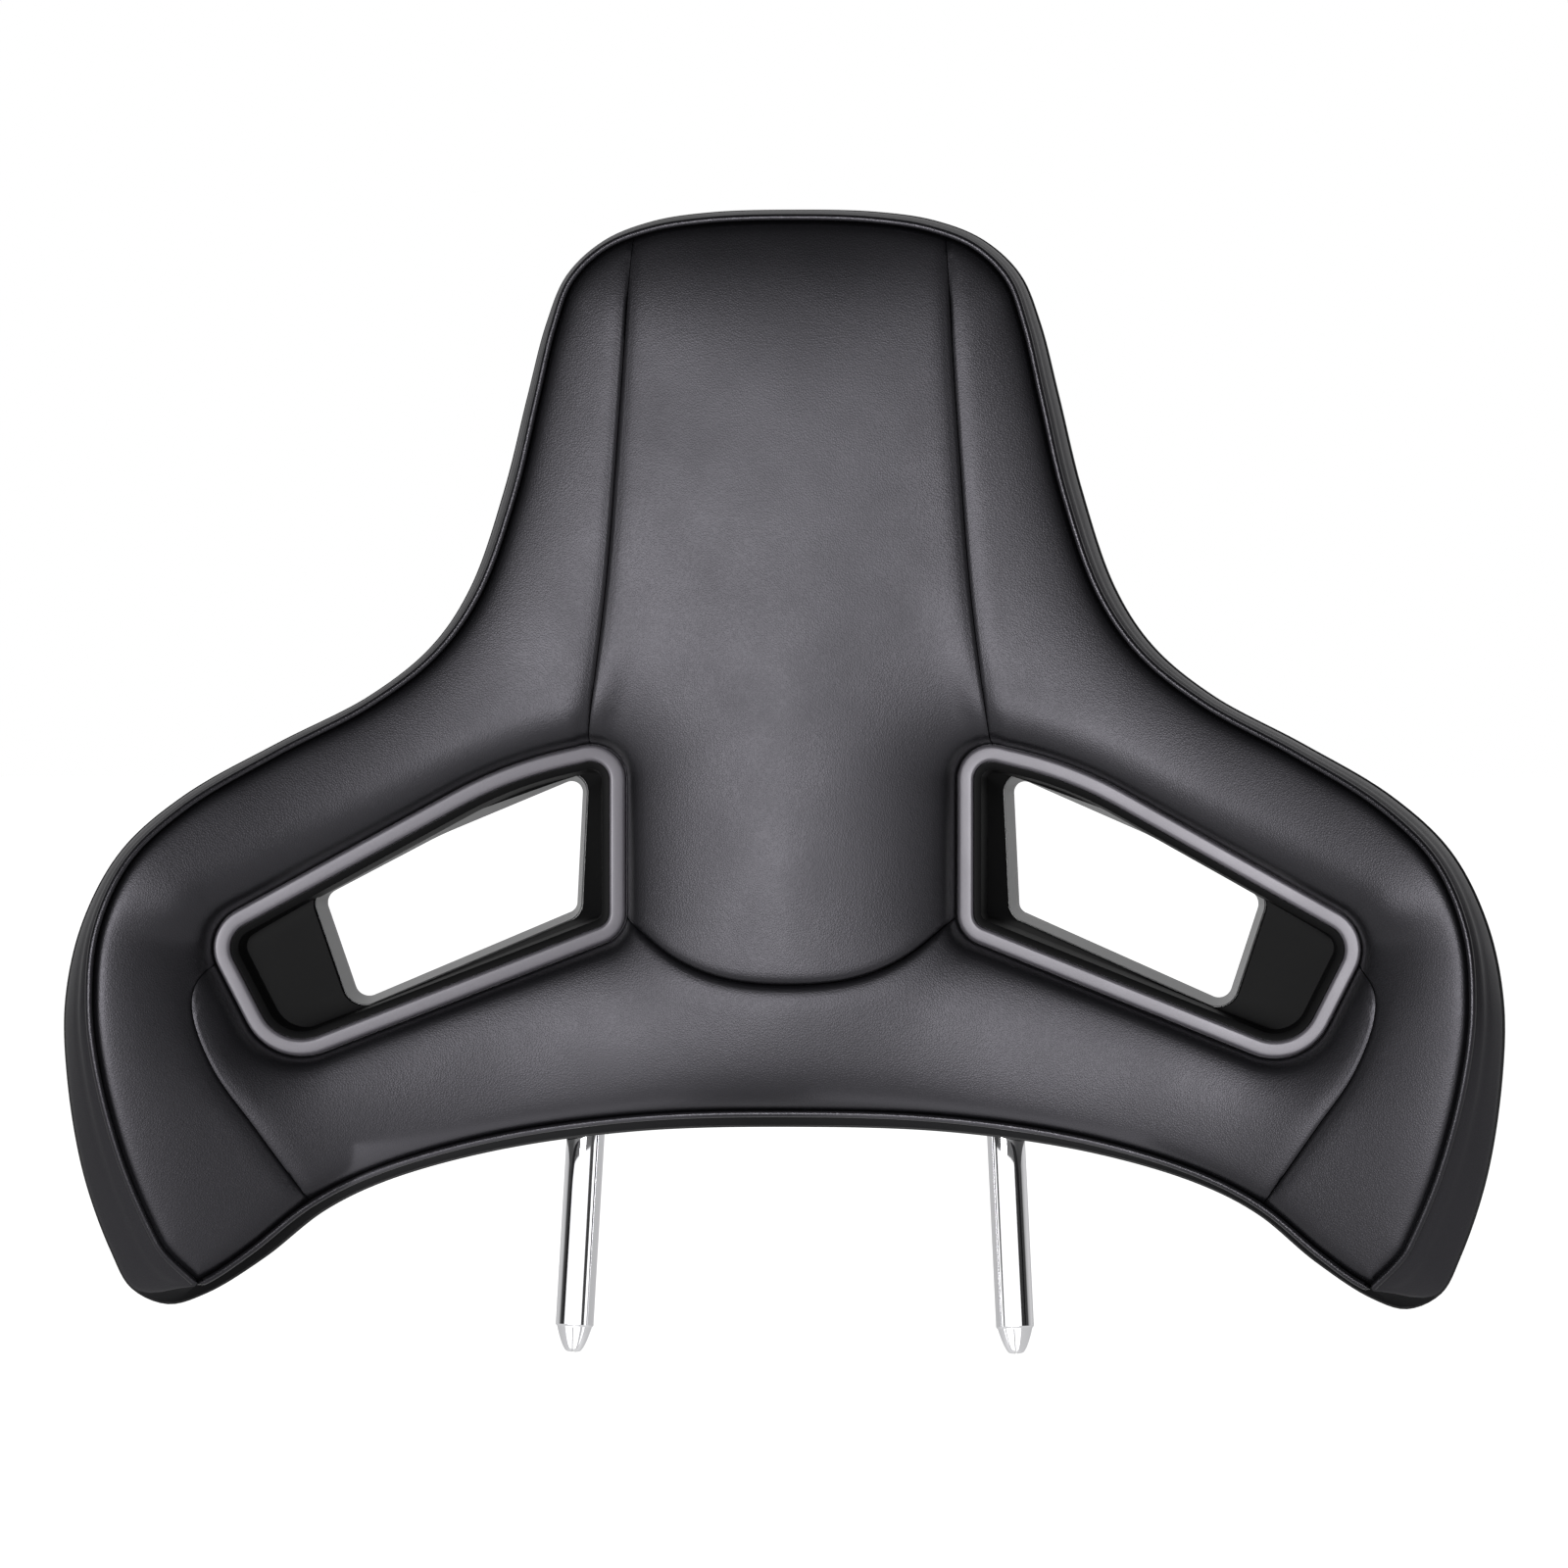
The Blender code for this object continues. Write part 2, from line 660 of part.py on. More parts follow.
def panel_names(net, tris, seams):
    """Panel of each triangle, or none in the gap of a seam."""
    centre, _, arc, wing, _ = seams
    arc_half = arc[:len(arc) // 2 + 1]
    centre_area = np.vstack([centre, arc_half])
    centre_area = np.vstack([[[0.0, centre[0][1]]], centre_area, [[0.0, arc_half[-1][1]]]])
    lower_area = np.vstack([wing, [[0.0, wing[-1][1]]], [[0.0, arc_half[-1][1]]], arc_half[::-1]])
    middle = net[np.array(tris)].mean(1)
    right = np.column_stack([np.abs(middle[:, 0]), middle[:, 1]])
    in_gap = np.min([distance_to(right, line) for line in (centre, arc, wing)], axis=0) < SEAM_GAP * 0.45
    in_centre = inside(right, centre_area)
    in_lower = inside(right, lower_area)
    names = []
    for k, point in enumerate(middle):
        side = "side_panel_right" if point[0] > 0 else "side_panel_left"
        names.append("centre_panel" if in_centre[k] else "lower_panel" if in_lower[k] else side)
        if in_gap[k]:
            names[-1] = None
    return names


def build_cover_and_foam(form, leather, foam, plastic):
    """Leather panels, the padding under them and the carrier behind it, all on one net."""
    net, tris, seams = front_net(form)
    names = panel_names(net, tris, seams)
    flat = form.place(net, -COVER_FLARE, PIPING_DIAMETER / 2 + GAP)
    outer = form.front_y(flat)
    for name in ("centre_panel", "side_panel_right", "side_panel_left", "lower_panel"):
        own = [t for t, n in zip(tris, names) if n == name]
        add_object(name, *layer(lifted(flat, outer), lifted(flat, outer + LEATHER), own), leather)
    back = form.place(net, CARRIER_FLARE, CARRIER_INSET)
    rear = form.carrier_y(back)
    padding = layer(lifted(flat, outer + LEATHER + GAP), lifted(back, rear - GAP), tris)
    add_object("foam_core", *padding, foam)
    shape = layer(lifted(back, rear), lifted(back, rear + CARRIER_WALL), tris)
    carrier = add_object("front_carrier", *shape, plastic)
    add_bosses(form, carrier, plastic)


def add_bosses(form, carrier, plastic):
    """Bosses on the back of the carrier that the clamp screws bite into."""
    top = plate_front() - GAP
    for x, z in screw_places():
        base = float(form.carrier_y(np.array([[x, z]]))[0]) + CARRIER_WALL / 2
        boss = cylinder("boss", (x, base, z), (x, top, z), BOSS_DIAMETER / 2, plastic)
        add_boolean(carrier, boss, "UNION")
        pilot_radius = SCREW_DIAMETER / 2 + HOLE_CLEARANCE
        bottom = top - SCREW_ENGAGEMENT - PILOT_TIP_ROOM
        pilot = cylinder("pilot", (x, bottom, z), (x, top + CUT_REACH, z), pilot_radius, plastic)
        add_boolean(carrier, pilot)


# Band, piping and trim round the edge

def edge_frames(form):
    """Matched rear and front points of the edge with y, and the inward direction, as 3-D rows."""
    rear = lifted(form.rear, rim_y(form.rear[:, 0]))
    front = lifted(form.front, piping_y(form.front[:, 0]))
    inward = lifted(form.inward, 0.0)
    return rear, front, inward


def edge_runs(form):
    """Index runs round the loop: over the top from tip to tip, and along the bottom."""
    tip = form.tip
    count = len(form.rear)
    upper = [k % count for k in range(count - tip, count + tip + 1)]
    lower = list(range(tip, count - tip + 1))
    return upper, lower


def band_rows(form, run, wall, bow):
    """Cross-sections of a thin band from the piping back to the rim."""
    rear, front, inward = edge_frames(form)
    rows = []
    for k in run:
        start = front[k] + [0.0, PIPING_DIAMETER / 2 + GAP, 0.0]
        end = rear[k] - [0.0, GAP, 0.0]
        middle = (start + end) / 2 - inward[k] * bow
        inner = inward[k] * wall
        rows.append([start, middle, end, end + inner, middle + inner, start + inner])
    return rows


def trimmed(rows, amount):
    """Pulls the two end sections back along the run."""
    rows = [np.array(r, float) for r in rows]
    for end, other in ((0, 1), (-1, -2)):
        along = rows[other].mean(0) - rows[end].mean(0)
        rows[end] = rows[end] + along / np.linalg.norm(along) * amount
    return rows


def build_edge(form, leather, piping, plastic):
    upper, lower = edge_runs(form)
    add_object("side_band", *strip_solid(trimmed(band_rows(form, upper, LEATHER, 1.0), GAP)), leather)
    add_object("lower_trim", *strip_solid(trimmed(band_rows(form, lower, LEATHER, 0.0), GAP)), plastic)
    _, front, _ = edge_frames(form)
    for name, run in (("edge_piping", upper), ("lower_piping", lower)):
        path = trimmed([[front[k]] for k in run], PIPING_DIAMETER / 2 + GAP)
        path = [p[0] for p in path]
        add_object(name, *sweep_tube(path, [PIPING_DIAMETER / 2] * len(path), PIPING_SIDES), piping)


# Rear shell

def build_shell(form, plastic):
    """Rear shell: crowned back, side wall with a rounded edge, rim against the side band."""
    hole = inset_loop(form.opening, -(TUNNEL_WALL + GAP))
    outer_edge = inset_loop(form.rear, SHELL_BEVEL)
    ring = inset_loop(form.rear, SHELL_RING)
    net, tris = planar_net([outer_edge, hole, mirrored(hole)], [], ring, COARSE_PITCH)
    first = [int(np.argmin(((net - p) ** 2).sum(1))) for p in outer_edge]
    face = form.shell_y(net)
    inner = net.copy()
    inward = inward_normals(form.rear)
    gap = net[:, None, :] - outer_edge[None]
    weight = ((gap * gap).sum(2) + 0.5) ** -2
    weight /= weight.sum(1)[:, None]
    edge_share = distance_to(net, outer_edge, closed=True) / SHELL_INNER_FADE
    fade = (1 - np.clip(edge_share, 0, 1)) ** 2
    inner += (weight @ inward) * (SHELL_WALL * fade)[:, None]
    back = lifted(net, face)
    inside_face = lifted(inner, face - SHELL_WALL)
    count = len(net)
    verts = [back, inside_face]
    faces = [tuple(t) for t in tris] + [tuple(count + i for i in t[::-1]) for t in tris]
    after = first[1:] + first[:1]
    outer_ring = set(zip(first, after)) | set(zip(after, first))
    for a, b in boundary_edges(tris):
        if (a, b) not in outer_ring:
            faces.append((b, a, count + a, count + b))
    rim = rim_y(form.rear[:, 0])
    edge = len(outer_edge)
    wall_back = lifted(form.rear, face[first] - SHELL_BEVEL * SHELL_WALL_SHARE)
    wall_front = lifted(form.rear, rim)
    wall_inner = lifted(inset_loop(form.rear, SHELL_WALL), rim)
    verts += [wall_back, wall_front, wall_inner]
    rows = [first, list(range(2 * count, 2 * count + edge))]
    rows.append(list(range(2 * count + edge, 2 * count + 2 * edge)))
    rows.append(list(range(2 * count + 2 * edge, 2 * count + 3 * edge)))
    rows.append([count + i for i in first])
    for a, b in zip(rows, rows[1:]):
        for k in range(edge):
            n = (k + 1) % edge
            faces.append((a[k], a[n], b[n], b[k]))
    verts = np.vstack(verts)
    used = sorted({i for f in faces for i in f})
    index = {old: new for new, old in enumerate(used)}
    shell = add_object("rear_shell", verts[used], [tuple(index[i] for i in f) for f in faces], plastic)
    for side in (-1, 1):
        start, end = post_point(side, JOG_START - POST_HOLE_LENGTH), post_point(side, JOG_START)
        radius = POST_DIAMETER / 2 + 2 * GAP + GROMMET_WALL
        add_boolean(shell, cylinder("post_hole", start, end, radius, plastic, TUBE_SIDES))


# Bezels and the tunnels behind them

def build_opening(form, side, name, bezel_mat, plastic):
    flip = (lambda loop: mirrored(loop)) if side < 0 else (lambda loop: loop)

    def ring(inset, depth):
        loop = flip(inset_loop(form.bezel, inset))
        return lifted(loop, bezel_y(loop[:, 0]) + depth)

    width = BEZEL_WIDTH
    edge = BEZEL_FACE_EDGE
    profile = [
        (0.0, BEZEL_HEIGHT),
        (0.0, edge),
        (edge, 0.0),
        (width - edge, 0.0),
        (width, edge),
        (width, BEZEL_COLLAR_DEPTH),
        (width - BEZEL_COLLAR, BEZEL_COLLAR_DEPTH),
        (width - BEZEL_COLLAR, BEZEL_HEIGHT),
    ]
    add_object("bezel_" + name, *ring_solid([ring(n, d) for n, d in profile]), bezel_mat)

    def tunnel_end(inset, lift):
        loop = flip(inset_loop(form.opening, inset))
        return lifted(loop, form.shell_y(loop) + lift)

    step = TUNNEL_STEP_DEPTH
    draft = TUNNEL_STEP_DRAFT
    neck = SHELL_WALL + TUNNEL_WALL + GAP
    rings = [
        ring(width, BEZEL_COLLAR_DEPTH + GAP),
        ring(width + draft, step),
        tunnel_end(0.0, -neck),
        tunnel_end(0.0, TUNNEL_PROUD),
        tunnel_end(-TUNNEL_WALL, TUNNEL_PROUD),
        tunnel_end(-TUNNEL_WALL, TUNNEL_WALL * 0.5 - neck),
        ring(width + draft - TUNNEL_WALL, step + TUNNEL_WALL),
        ring(width - TUNNEL_WALL, BEZEL_COLLAR_DEPTH + GAP),
    ]
    add_object("tunnel_" + name, *ring_solid(rings), plastic)


# Steel hoop and what ties it down

def post_point(side, z):
    x = POST_TIP_SPACING / 2 - math.tan(POST_SPLAY) * z
    return np.array([side * x, math.tan(POST_LEAN) * z, z])


def plate_front():
    return HOOP_DEPTH - POST_DIAMETER / 2 - GAP - PLATE_THICKNESS


def clamp_height():
    return HOOP_TOP - HOOP_RADIUS - CLAMP_WIDTH / 2 - CLAMP_BELOW_BEND


def screw_places():
    reach = POST_DIAMETER / 2 + CLAMP_THICKNESS + CLAMP_EAR / 2
    return [(side * (HOOP_HALF_WIDTH + out * reach), clamp_height()) for side in (-1, 1) for out in (-1, 1)]


def filleted_path(points, radii, step):
    path = [points[0]]
    for a, b, c, radius in zip(points, points[1:], points[2:], radii):
        to_a = (a - b) / np.linalg.norm(a - b)
        to_c = (c - b) / np.linalg.norm(c - b)
        half = math.acos(np.clip(to_a @ to_c, -1, 1)) / 2
        bisector = (to_a + to_c) / np.linalg.norm(to_a + to_c)
        centre = b + bisector * radius / math.sin(half)
        start = b + to_a * radius / math.tan(half) - centre
        turn = math.pi - 2 * half
        axis = np.cross(to_c, to_a)
        count = max(2, math.ceil(turn * radius / step))
        for k in range(count + 1):
            spin = Matrix.Rotation(turn * k / count, 3, Vector(axis))
            path.append(centre + np.array(spin @ Vector(start)))
    path.append(points[-1])
    return np.array(path)


def hoop_path():
    depth = HOOP_DEPTH
    right = [
        post_point(1, 0.0),
        post_point(1, JOG_START),
        np.array([HOOP_HALF_WIDTH, depth, JOG_END]),
        np.array([HOOP_HALF_WIDTH, depth, HOOP_TOP]),
    ]
    corners = right + [p * [-1, 1, 1] for p in right[::-1]]
    radii = [JOG_RADIUS, JOG_RADIUS, HOOP_RADIUS, HOOP_RADIUS, JOG_RADIUS, JOG_RADIUS]
    return filleted_path(corners, radii, HOOP_STEP)


def build_hoop(steel):
    path = hoop_path()
    radius = POST_DIAMETER / 2
    shares = [0.0, 0.12, 0.35, 0.65, 1.0]
    along = (path[1] - path[0]) / np.linalg.norm(path[1] - path[0])
    tip = [path[0] + along * POST_TIP_LENGTH * s for s in shares]
    taper = [POST_TIP_END + (radius - POST_TIP_END) * math.sin(math.pi / 2 * s) ** 0.8 for s in shares]
    far = [p * [-1, 1, 1] for p in tip[::-1]]
    whole = tip + list(path[1:-1]) + far
    radii = taper + [radius] * (len(path) - 2) + taper[::-1]
    add_object("post_hoop", *sweep_tube(whole, radii, TUBE_SIDES), steel)


def extruded(name, loop, y_front, y_back, mat):
    """Flat plate from a front-view loop."""
    count = len(loop)
    verts = [(x, y_front, z) for x, z in loop] + [(x, y_back, z) for x, z in loop]
    faces = [tuple(range(count)), tuple(reversed(range(count, 2 * count)))]
    faces += [(k, (k + 1) % count, count + (k + 1) % count, count + k) for k in range(count)]
    return add_object(name, verts, faces, mat)


def build_plate_and_clamps(steel, zinc):
    front = plate_front()
    ear = HOOP_HALF_WIDTH + POST_DIAMETER / 2 + CLAMP_THICKNESS + CLAMP_EAR
    body = HOOP_HALF_WIDTH + POST_DIAMETER / 2
    level = clamp_height()
    bottom, top = level - PLATE_BELOW_CLAMP, level + PLATE_ABOVE_CLAMP
    ear_low, ear_high = level - CLAMP_WIDTH, level + CLAMP_WIDTH
    levels = (bottom, ear_low, ear_low, ear_high, ear_high, top)
    right = [(x, z, PLATE_CORNER) for x, z in zip((body, body, ear, ear, body, body), levels)]
    corners = right + [(-x, z, r) for x, z, r in right[::-1]]
    loop = rounded_polygon(corners, [1] * len(corners))
    plate = extruded("frame_plate", loop, front, front + PLATE_THICKNESS, steel)
    cut_front, cut_back = front - CUT_REACH, front + CUT_REACH
    rows = int((top - bottom - PLATE_HOLE_RADIUS) // PLATE_HOLE_PITCH)
    middle = (top + bottom) / 2
    for k in range(rows):
        z = middle + (k - (rows - 1) / 2) * PLATE_HOLE_PITCH
        ends = (0, cut_front, z), (0, cut_back, z)
        add_boolean(plate, cylinder("lightening", *ends, PLATE_HOLE_RADIUS, steel, TUBE_SIDES))
    hole_radius = SCREW_DIAMETER / 2 + HOLE_CLEARANCE
    back = HOOP_DEPTH - POST_DIAMETER / 2
    for x, z in screw_places():
        ends = (x, cut_front, z), (x, cut_back, z)
        add_boolean(plate, cylinder("screw_hole", *ends, hole_radius, steel))
    for side, name in ((-1, "left"), (1, "right")):
        clamp = build_clamp("hoop_clamp_" + name, side * HOOP_HALF_WIDTH, back, zinc)
        for x, z in screw_places():
            if x * side > 0:
                ends = (x, back - CUT_REACH, z), (x, back + CUT_REACH, z)
                add_boolean(clamp, cylinder("clamp_hole", *ends, hole_radius, zinc))
    build_screws(front, back, zinc)


def build_screws(front, back, mat):
    """Screws from behind through clamp and plate into the carrier's bosses."""
    seat = back + CLAMP_THICKNESS + GAP
    shank_end = front - GAP - SCREW_ENGAGEMENT
    profile = [
        (shank_end, SCREW_DIAMETER * 0.3),
        (shank_end + 1.0, SCREW_DIAMETER / 2),
        (seat, SCREW_DIAMETER / 2),
        (seat, SCREW_HEAD / 2),
        (seat + SCREW_HEAD_HEIGHT * 0.6, SCREW_HEAD / 2),
        (seat + SCREW_HEAD_HEIGHT, SCREW_HEAD * 0.3),
    ]
    for number, (x, z) in enumerate(screw_places(), 1):
        rows = [[(x + r * math.cos(a), y, z + r * math.sin(a)) for a in circle(ROUND_SIDES)] for y, r in profile]
        add_object(f"clamp_screw_{number}", *strip_solid([np.array(r) for r in rows]), mat)


def circle(sides):
    return [2 * math.pi * k / sides for k in range(sides)]


def build_clamp(name, x, back, mat):
    """Saddle strap over the rear of a hoop leg, with a flat ear on each side."""
    inner = POST_DIAMETER / 2 + GAP
    outer = inner + CLAMP_THICKNESS
    reach = outer + CLAMP_EAR
    ear = back + CLAMP_THICKNESS
    half_turn = [a for a in circle(TUBE_SIDES) if a <= math.pi + 0.001]
    line = [(reach, back), (inner, back)]
    line += [(inner * math.cos(a), HOOP_DEPTH + inner * math.sin(a)) for a in half_turn]
    line += [(-inner, back), (-reach, back), (-reach, ear), (-outer, ear)]
    line += [(outer * math.cos(a), HOOP_DEPTH + outer * math.sin(a)) for a in half_turn[::-1]]
    line += [(outer, ear), (reach, ear)]
    low, high = clamp_height() - CLAMP_WIDTH / 2, clamp_height() + CLAMP_WIDTH / 2
    rows = [[(x + u, v, z) for u, v in line] for z in (low, high)]
    return add_object(name, *strip_solid([np.array(r) for r in rows]), mat)


def build_grommets(plastic):
    for side, name in ((-1, "left"), (1, "right")):
        inner = POST_DIAMETER / 2 + GAP
        outer = inner + GROMMET_WALL
        low = OUTLINE[-2][1] - GROMMET_PROUD
        start, end = post_point(side, low), post_point(side, low + GROMMET_LENGTH)
        axis = (end - start) / np.linalg.norm(end - start)
        across = np.cross(axis, [0.0, 1.0, 0.0])
        across /= np.linalg.norm(across)
        up = np.cross(axis, across)
        rings = []
        turns = [math.cos(a) * across + math.sin(a) * up for a in circle(TUBE_SIDES)]
        for place, radius in ((start, inner), (start, outer), (end, outer), (end, inner)):
            rings.append(np.array([place + radius * turn for turn in turns]))
        add_object("post_grommet_" + name, *ring_solid(rings), plastic)


def main():
    clear_scene()
    form = Form()
    leather = material("black_leather", LEATHER_BLACK, 0.55)
    piping = material("piping_leather", LEATHER_BLACK, 0.4)
    foam = material("polyurethane_foam", (0.55, 0.52, 0.42), 0.95)
    plastic = material("black_plastic", (0.02, 0.02, 0.021), 0.5)
    carrier = material("carrier_plastic", (0.06, 0.06, 0.06), 0.6)
    bezel = material("bezel_paint", BEZEL_GREY, 0.35, 0.3)
    chrome = material("chrome", (0.8, 0.8, 0.82), 0.08, 1.0)
    steel = material("steel", (0.35, 0.35, 0.36), 0.4, 1.0)
    build_cover_and_foam(form, leather, foam, carrier)
    build_edge(form, leather, piping, plastic)
    build_shell(form, plastic)
    build_opening(form, 1, "right", bezel, plastic)
    build_opening(form, -1, "left", bezel, plastic)
    build_hoop(chrome)
    build_plate_and_clamps(steel, steel)
    build_grommets(plastic)


main()
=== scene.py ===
import math

import bmesh
import bpy
import numpy as np
from mathutils import Matrix, Vector, noise
from mathutils.geometry import delaunay_2d_cdt


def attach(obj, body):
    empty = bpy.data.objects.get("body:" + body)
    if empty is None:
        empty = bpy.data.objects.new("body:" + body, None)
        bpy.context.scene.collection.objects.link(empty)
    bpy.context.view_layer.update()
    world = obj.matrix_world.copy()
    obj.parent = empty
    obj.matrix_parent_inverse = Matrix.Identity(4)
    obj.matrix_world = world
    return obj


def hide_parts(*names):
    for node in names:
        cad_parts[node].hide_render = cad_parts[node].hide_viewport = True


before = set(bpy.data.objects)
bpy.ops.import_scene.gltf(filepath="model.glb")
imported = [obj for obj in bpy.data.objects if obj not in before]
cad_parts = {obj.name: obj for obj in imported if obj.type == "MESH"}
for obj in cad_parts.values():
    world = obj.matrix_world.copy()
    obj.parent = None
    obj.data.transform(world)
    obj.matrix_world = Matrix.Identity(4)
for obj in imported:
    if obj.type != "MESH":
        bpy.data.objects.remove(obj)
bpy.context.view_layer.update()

MM = 0.001
GAP = 0.3

# Camera: a long lens, a little to the sitter's left of the middle, level with the pad
CAMERA_AZIMUTH = math.radians(4.5)
CAMERA_ELEVATION = math.radians(0.5)
CAMERA_DISTANCE = 4500.0
CAMERA_TARGET = Vector((-3.49, -4.27, 209.8))
CAMERA_LENS = 280.5
SENSOR_WIDTH = 36.0

# Studio: brightness of the surroundings from the camera side round to the back
STUDIO_RAMP = [(0.0, 0.16), (0.1, 0.14), (0.2, 0.04), (0.5, 0.05), (0.63, 0.5), (0.8, 0.65)]

# Softbox, and one small card in front of each post, for the chrome
SOFTBOX_PLACE = Vector((-225.0, -1350.0, 225.0))
SOFTBOX_AIM = Vector((0.0, -20.0, 215.0))
SOFTBOX_WIDTH = 750.0
SOFTBOX_HEIGHT = 450.0
SOFTBOX_RADIANCE = 14.0
CARD_DISTANCE = 45.0
CARD_SHIFT = -16.0
CARD_LEVEL = -12.0
CARD_WIDTH = 118.0
CARD_HEIGHT = 180.0
CARD_RADIANCE = 1.15

# Floor
FLOOR_HEIGHT = -120.0
FLOOR_REACH = 40000.0
FLOOR_GREY = 0.6
FLOOR_GLOW = 0.97
FLOOR_MIRROR_SHARE = 0.38

# Outline of the rear edge, right half, from the top centre clockwise: x, z, and how far the
# front piping line lies inside it
OUTLINE = [
    (0.0, 421.3, 3.4),
    (30.0, 420.5, 3.6),
    (52.1, 417.2, 3.7),
    (70.1, 410.0, 3.7),
    (83.7, 397.3, 4.1),
    (91.1, 379.7, 4.7),
    (98.1, 352.5, 5.3),
    (106.6, 318.0, 5.7),
    (119.0, 281.9, 5.3),
    (133.1, 260.5, 4.5),
    (155.2, 242.5, 3.9),
    (188.7, 224.8, 4.2),
    (221.4, 205.8, 5.1),
    (243.0, 186.0, 6.1),
    (256.3, 160.4, 7.8),
    (262.4, 131.9, 10.9),
    (261.9, 103.4, 13.2),
    (256.3, 67.6, 16.5),
    (246.8, 38.9, 18.3),
    (239.6, 25.2, 19.4),
    (227.0, 19.2, 9.0),
    (213.6, 22.9, 4.6),
    (192.9, 35.8, 4.3),
    (171.7, 52.7, 4.3),
    (149.6, 63.5, 4.5),
    (109.5, 74.6, 5.0),
    (57.5, 81.7, 5.4),
    (0.0, 83.4, 5.6),
]
TIP_SLIDES = (12.0, 8.0)

# Depths: the rim is the rear edge of the side band, the wings sweep forward from it
RIM_BACK = -4.0
WING_SWEEP = 60.0
SWEEP_SPAN = 265.0
SWEEP_POWER = 2.5
BAND_DEPTH = 18.0
BAND_DEPTH_WING = 4.0

# Cover and padding
COVER_FLARE = 0.06
FLARE_FADE = 34.0
CROWN_POWER = 2.3
EDGE_CROWN = 9.0
EDGE_CROWN_WIDTH = 20.0
LOWER_LIP_SHARE = 0.3
LOWER_LIP_WIDTH = 3.0
LOWER_CROWN_WIDTH = 45.0
EDGE_ROLL = 2.4
EDGE_ROLL_WIDTH = 1.1
CENTRE_BULGE = 6.0
CENTRE_BULGE_WIDTH = 60.0
CENTRE_BULGE_RISE = 90.0
CENTRE_BULGE_FADE = 9.0
SEAM_GAP = 0.3
SEAM_DIP = 0.8
SEAM_DIP_WIDTH = 3.2
SEAM_ROLL = 1.1
SEAM_OVERRUN = 12.0
ARC_STEP = 2.2
ARC_STEP_WIDTH = 2.8
ARC_EASE = 0.6
ARC_EASE_WIDTH = 2.4
ARC_ROLL = 2.3
HAND_WAVE = 0.3
HAND_WAVE_LENGTH = 55.0
WAVE_FADE = 20.0
PAD_BACK_LIFT = 4.4
CARRIER_BEZEL_DEPTH = 9.3
CARRIER_BEZEL_REACH = 24.0
CARRIER_INSET = 2.1
CARRIER_FLARE = 0.78

# Piping, and the band and trim behind it; a share counts from the piping back to the rim
PIPING_DIAMETER = 2.6
BAND_TUCK = 0.6
BAND_BOW = 1.0
TRIM_BOW = 0.3
BAND_WALL = 1.5
BAND_STEPS = 16
BAND_WALL_STRIDE = 4
BAND_EDGE_SHARE = 0.2
FOLD_HEIGHT = 0.45
FOLD_PLACE = 0.24
FOLD_VALLEY = 0.42
FOLD_VALLEY_DEPTH = 0.5
FOLD_WIDTH = 0.07
FOLD_START = 55.0
FOLD_FULL = 100.0
HEM_ROLL = 0.12
HEM_DROP = 0.35
WRAP_STEPS = 4
WRAP_POWER = 2.2
WRAP_GAP = 0.02
LEATHER_LEAST = 0.05
TRIM_START_MOST = 0.97

# Seams of the front cover, right half: x, z
CENTRE_SEAM = [
    (57.5, 418.3), (58.5, 404.1), (59.9, 376.7), (63.0, 331.1), (66.8, 283.1), (74.2, 223.2),
]
ARC_SEAM = [(60.6, 160.9), (42.2, 146.2), (24.1, 138.8), (0.0, 136.4)]
WING_SEAM = [
    (207.6, 146.5), (215.2, 136.0), (215.5, 125.1), (208.1, 105.4), (193.9, 84.7), (171.8, 53.2),
]

# Openings: corners of the bezel outline with their radii, right side, counter-clockwise
BEZEL_CORNERS = [
    (105.2, 217.1, 150.0),
    (61.2, 227.5, 12.6),
    (61.2, 154.6, 11.6),
    (189.1, 104.6, 22.0),
    (215.2, 156.3, 15.5),
]
BEZEL_INNER_LIFT = 9.5
BEZEL_OUTER_LIFT = 5.7
BEZEL_WIDTH = 8.7
BEZEL_FACE = 5.9
BEZEL_ROUND = 1.3
BEZEL_FACE_CROWN = 0.03
BEZEL_FACE_FLAT = 0.8
BEZEL_HEIGHT = 4.0
BEZEL_COLLAR_DEPTH = 7.0
BEZEL_COLLAR = 1.8
HALO_SHARE = 0.42
HALO_WIDTH = 17.0
HALO_SHARE_ABOVE = 0.2
HALO_WIDTH_ABOVE = 9.0
HALO_CLIFF = 1.3
HALO_UPPER_SIDE = np.array([0.45, 0.89])
HALO_BLEND_FROM = 0.55
HALO_BLEND_TO = 0.97
LEDGE_DEPTH = 1.6
LEDGE_SLOPE = 0.3
LEDGE_ROUND = 1.0
COVER_TUCK = 6.4

# Corners of the opening through the rear shell, right side, in the same order
REAR_CORNERS = [
    (131.3, 190.8, 115.0),
    (79.8, 212.8, 4.0),
    (82.2, 163.2, 4.0),
    (159.8, 129.9, 5.0),
    (172.6, 168.5, 5.0),
]
TUNNEL_WALL = 1.8
TUNNEL_STEP_DEPTH = 15.0
TUNNEL_STEP_DRAFT = 1.2
TUNNEL_STEP_ROUND = 1.2
TUNNEL_SHARES = (0.02, 0.08, 0.5, 0.9, 0.98)
TUNNEL_PROUD = 0.6
NECK_FLARE = 3.3
NECK_DEPTH = 15.0
NECK_GROOVE = 0.5
NECK_LIP = 0.2
NECK_SHARES = (0.15, 0.4, 0.7, 0.9, 1.0)
NECK_SETBACK = 1.0
NECK_ROLL = ((-0.3, -0.2), (-0.9, TUNNEL_PROUD))

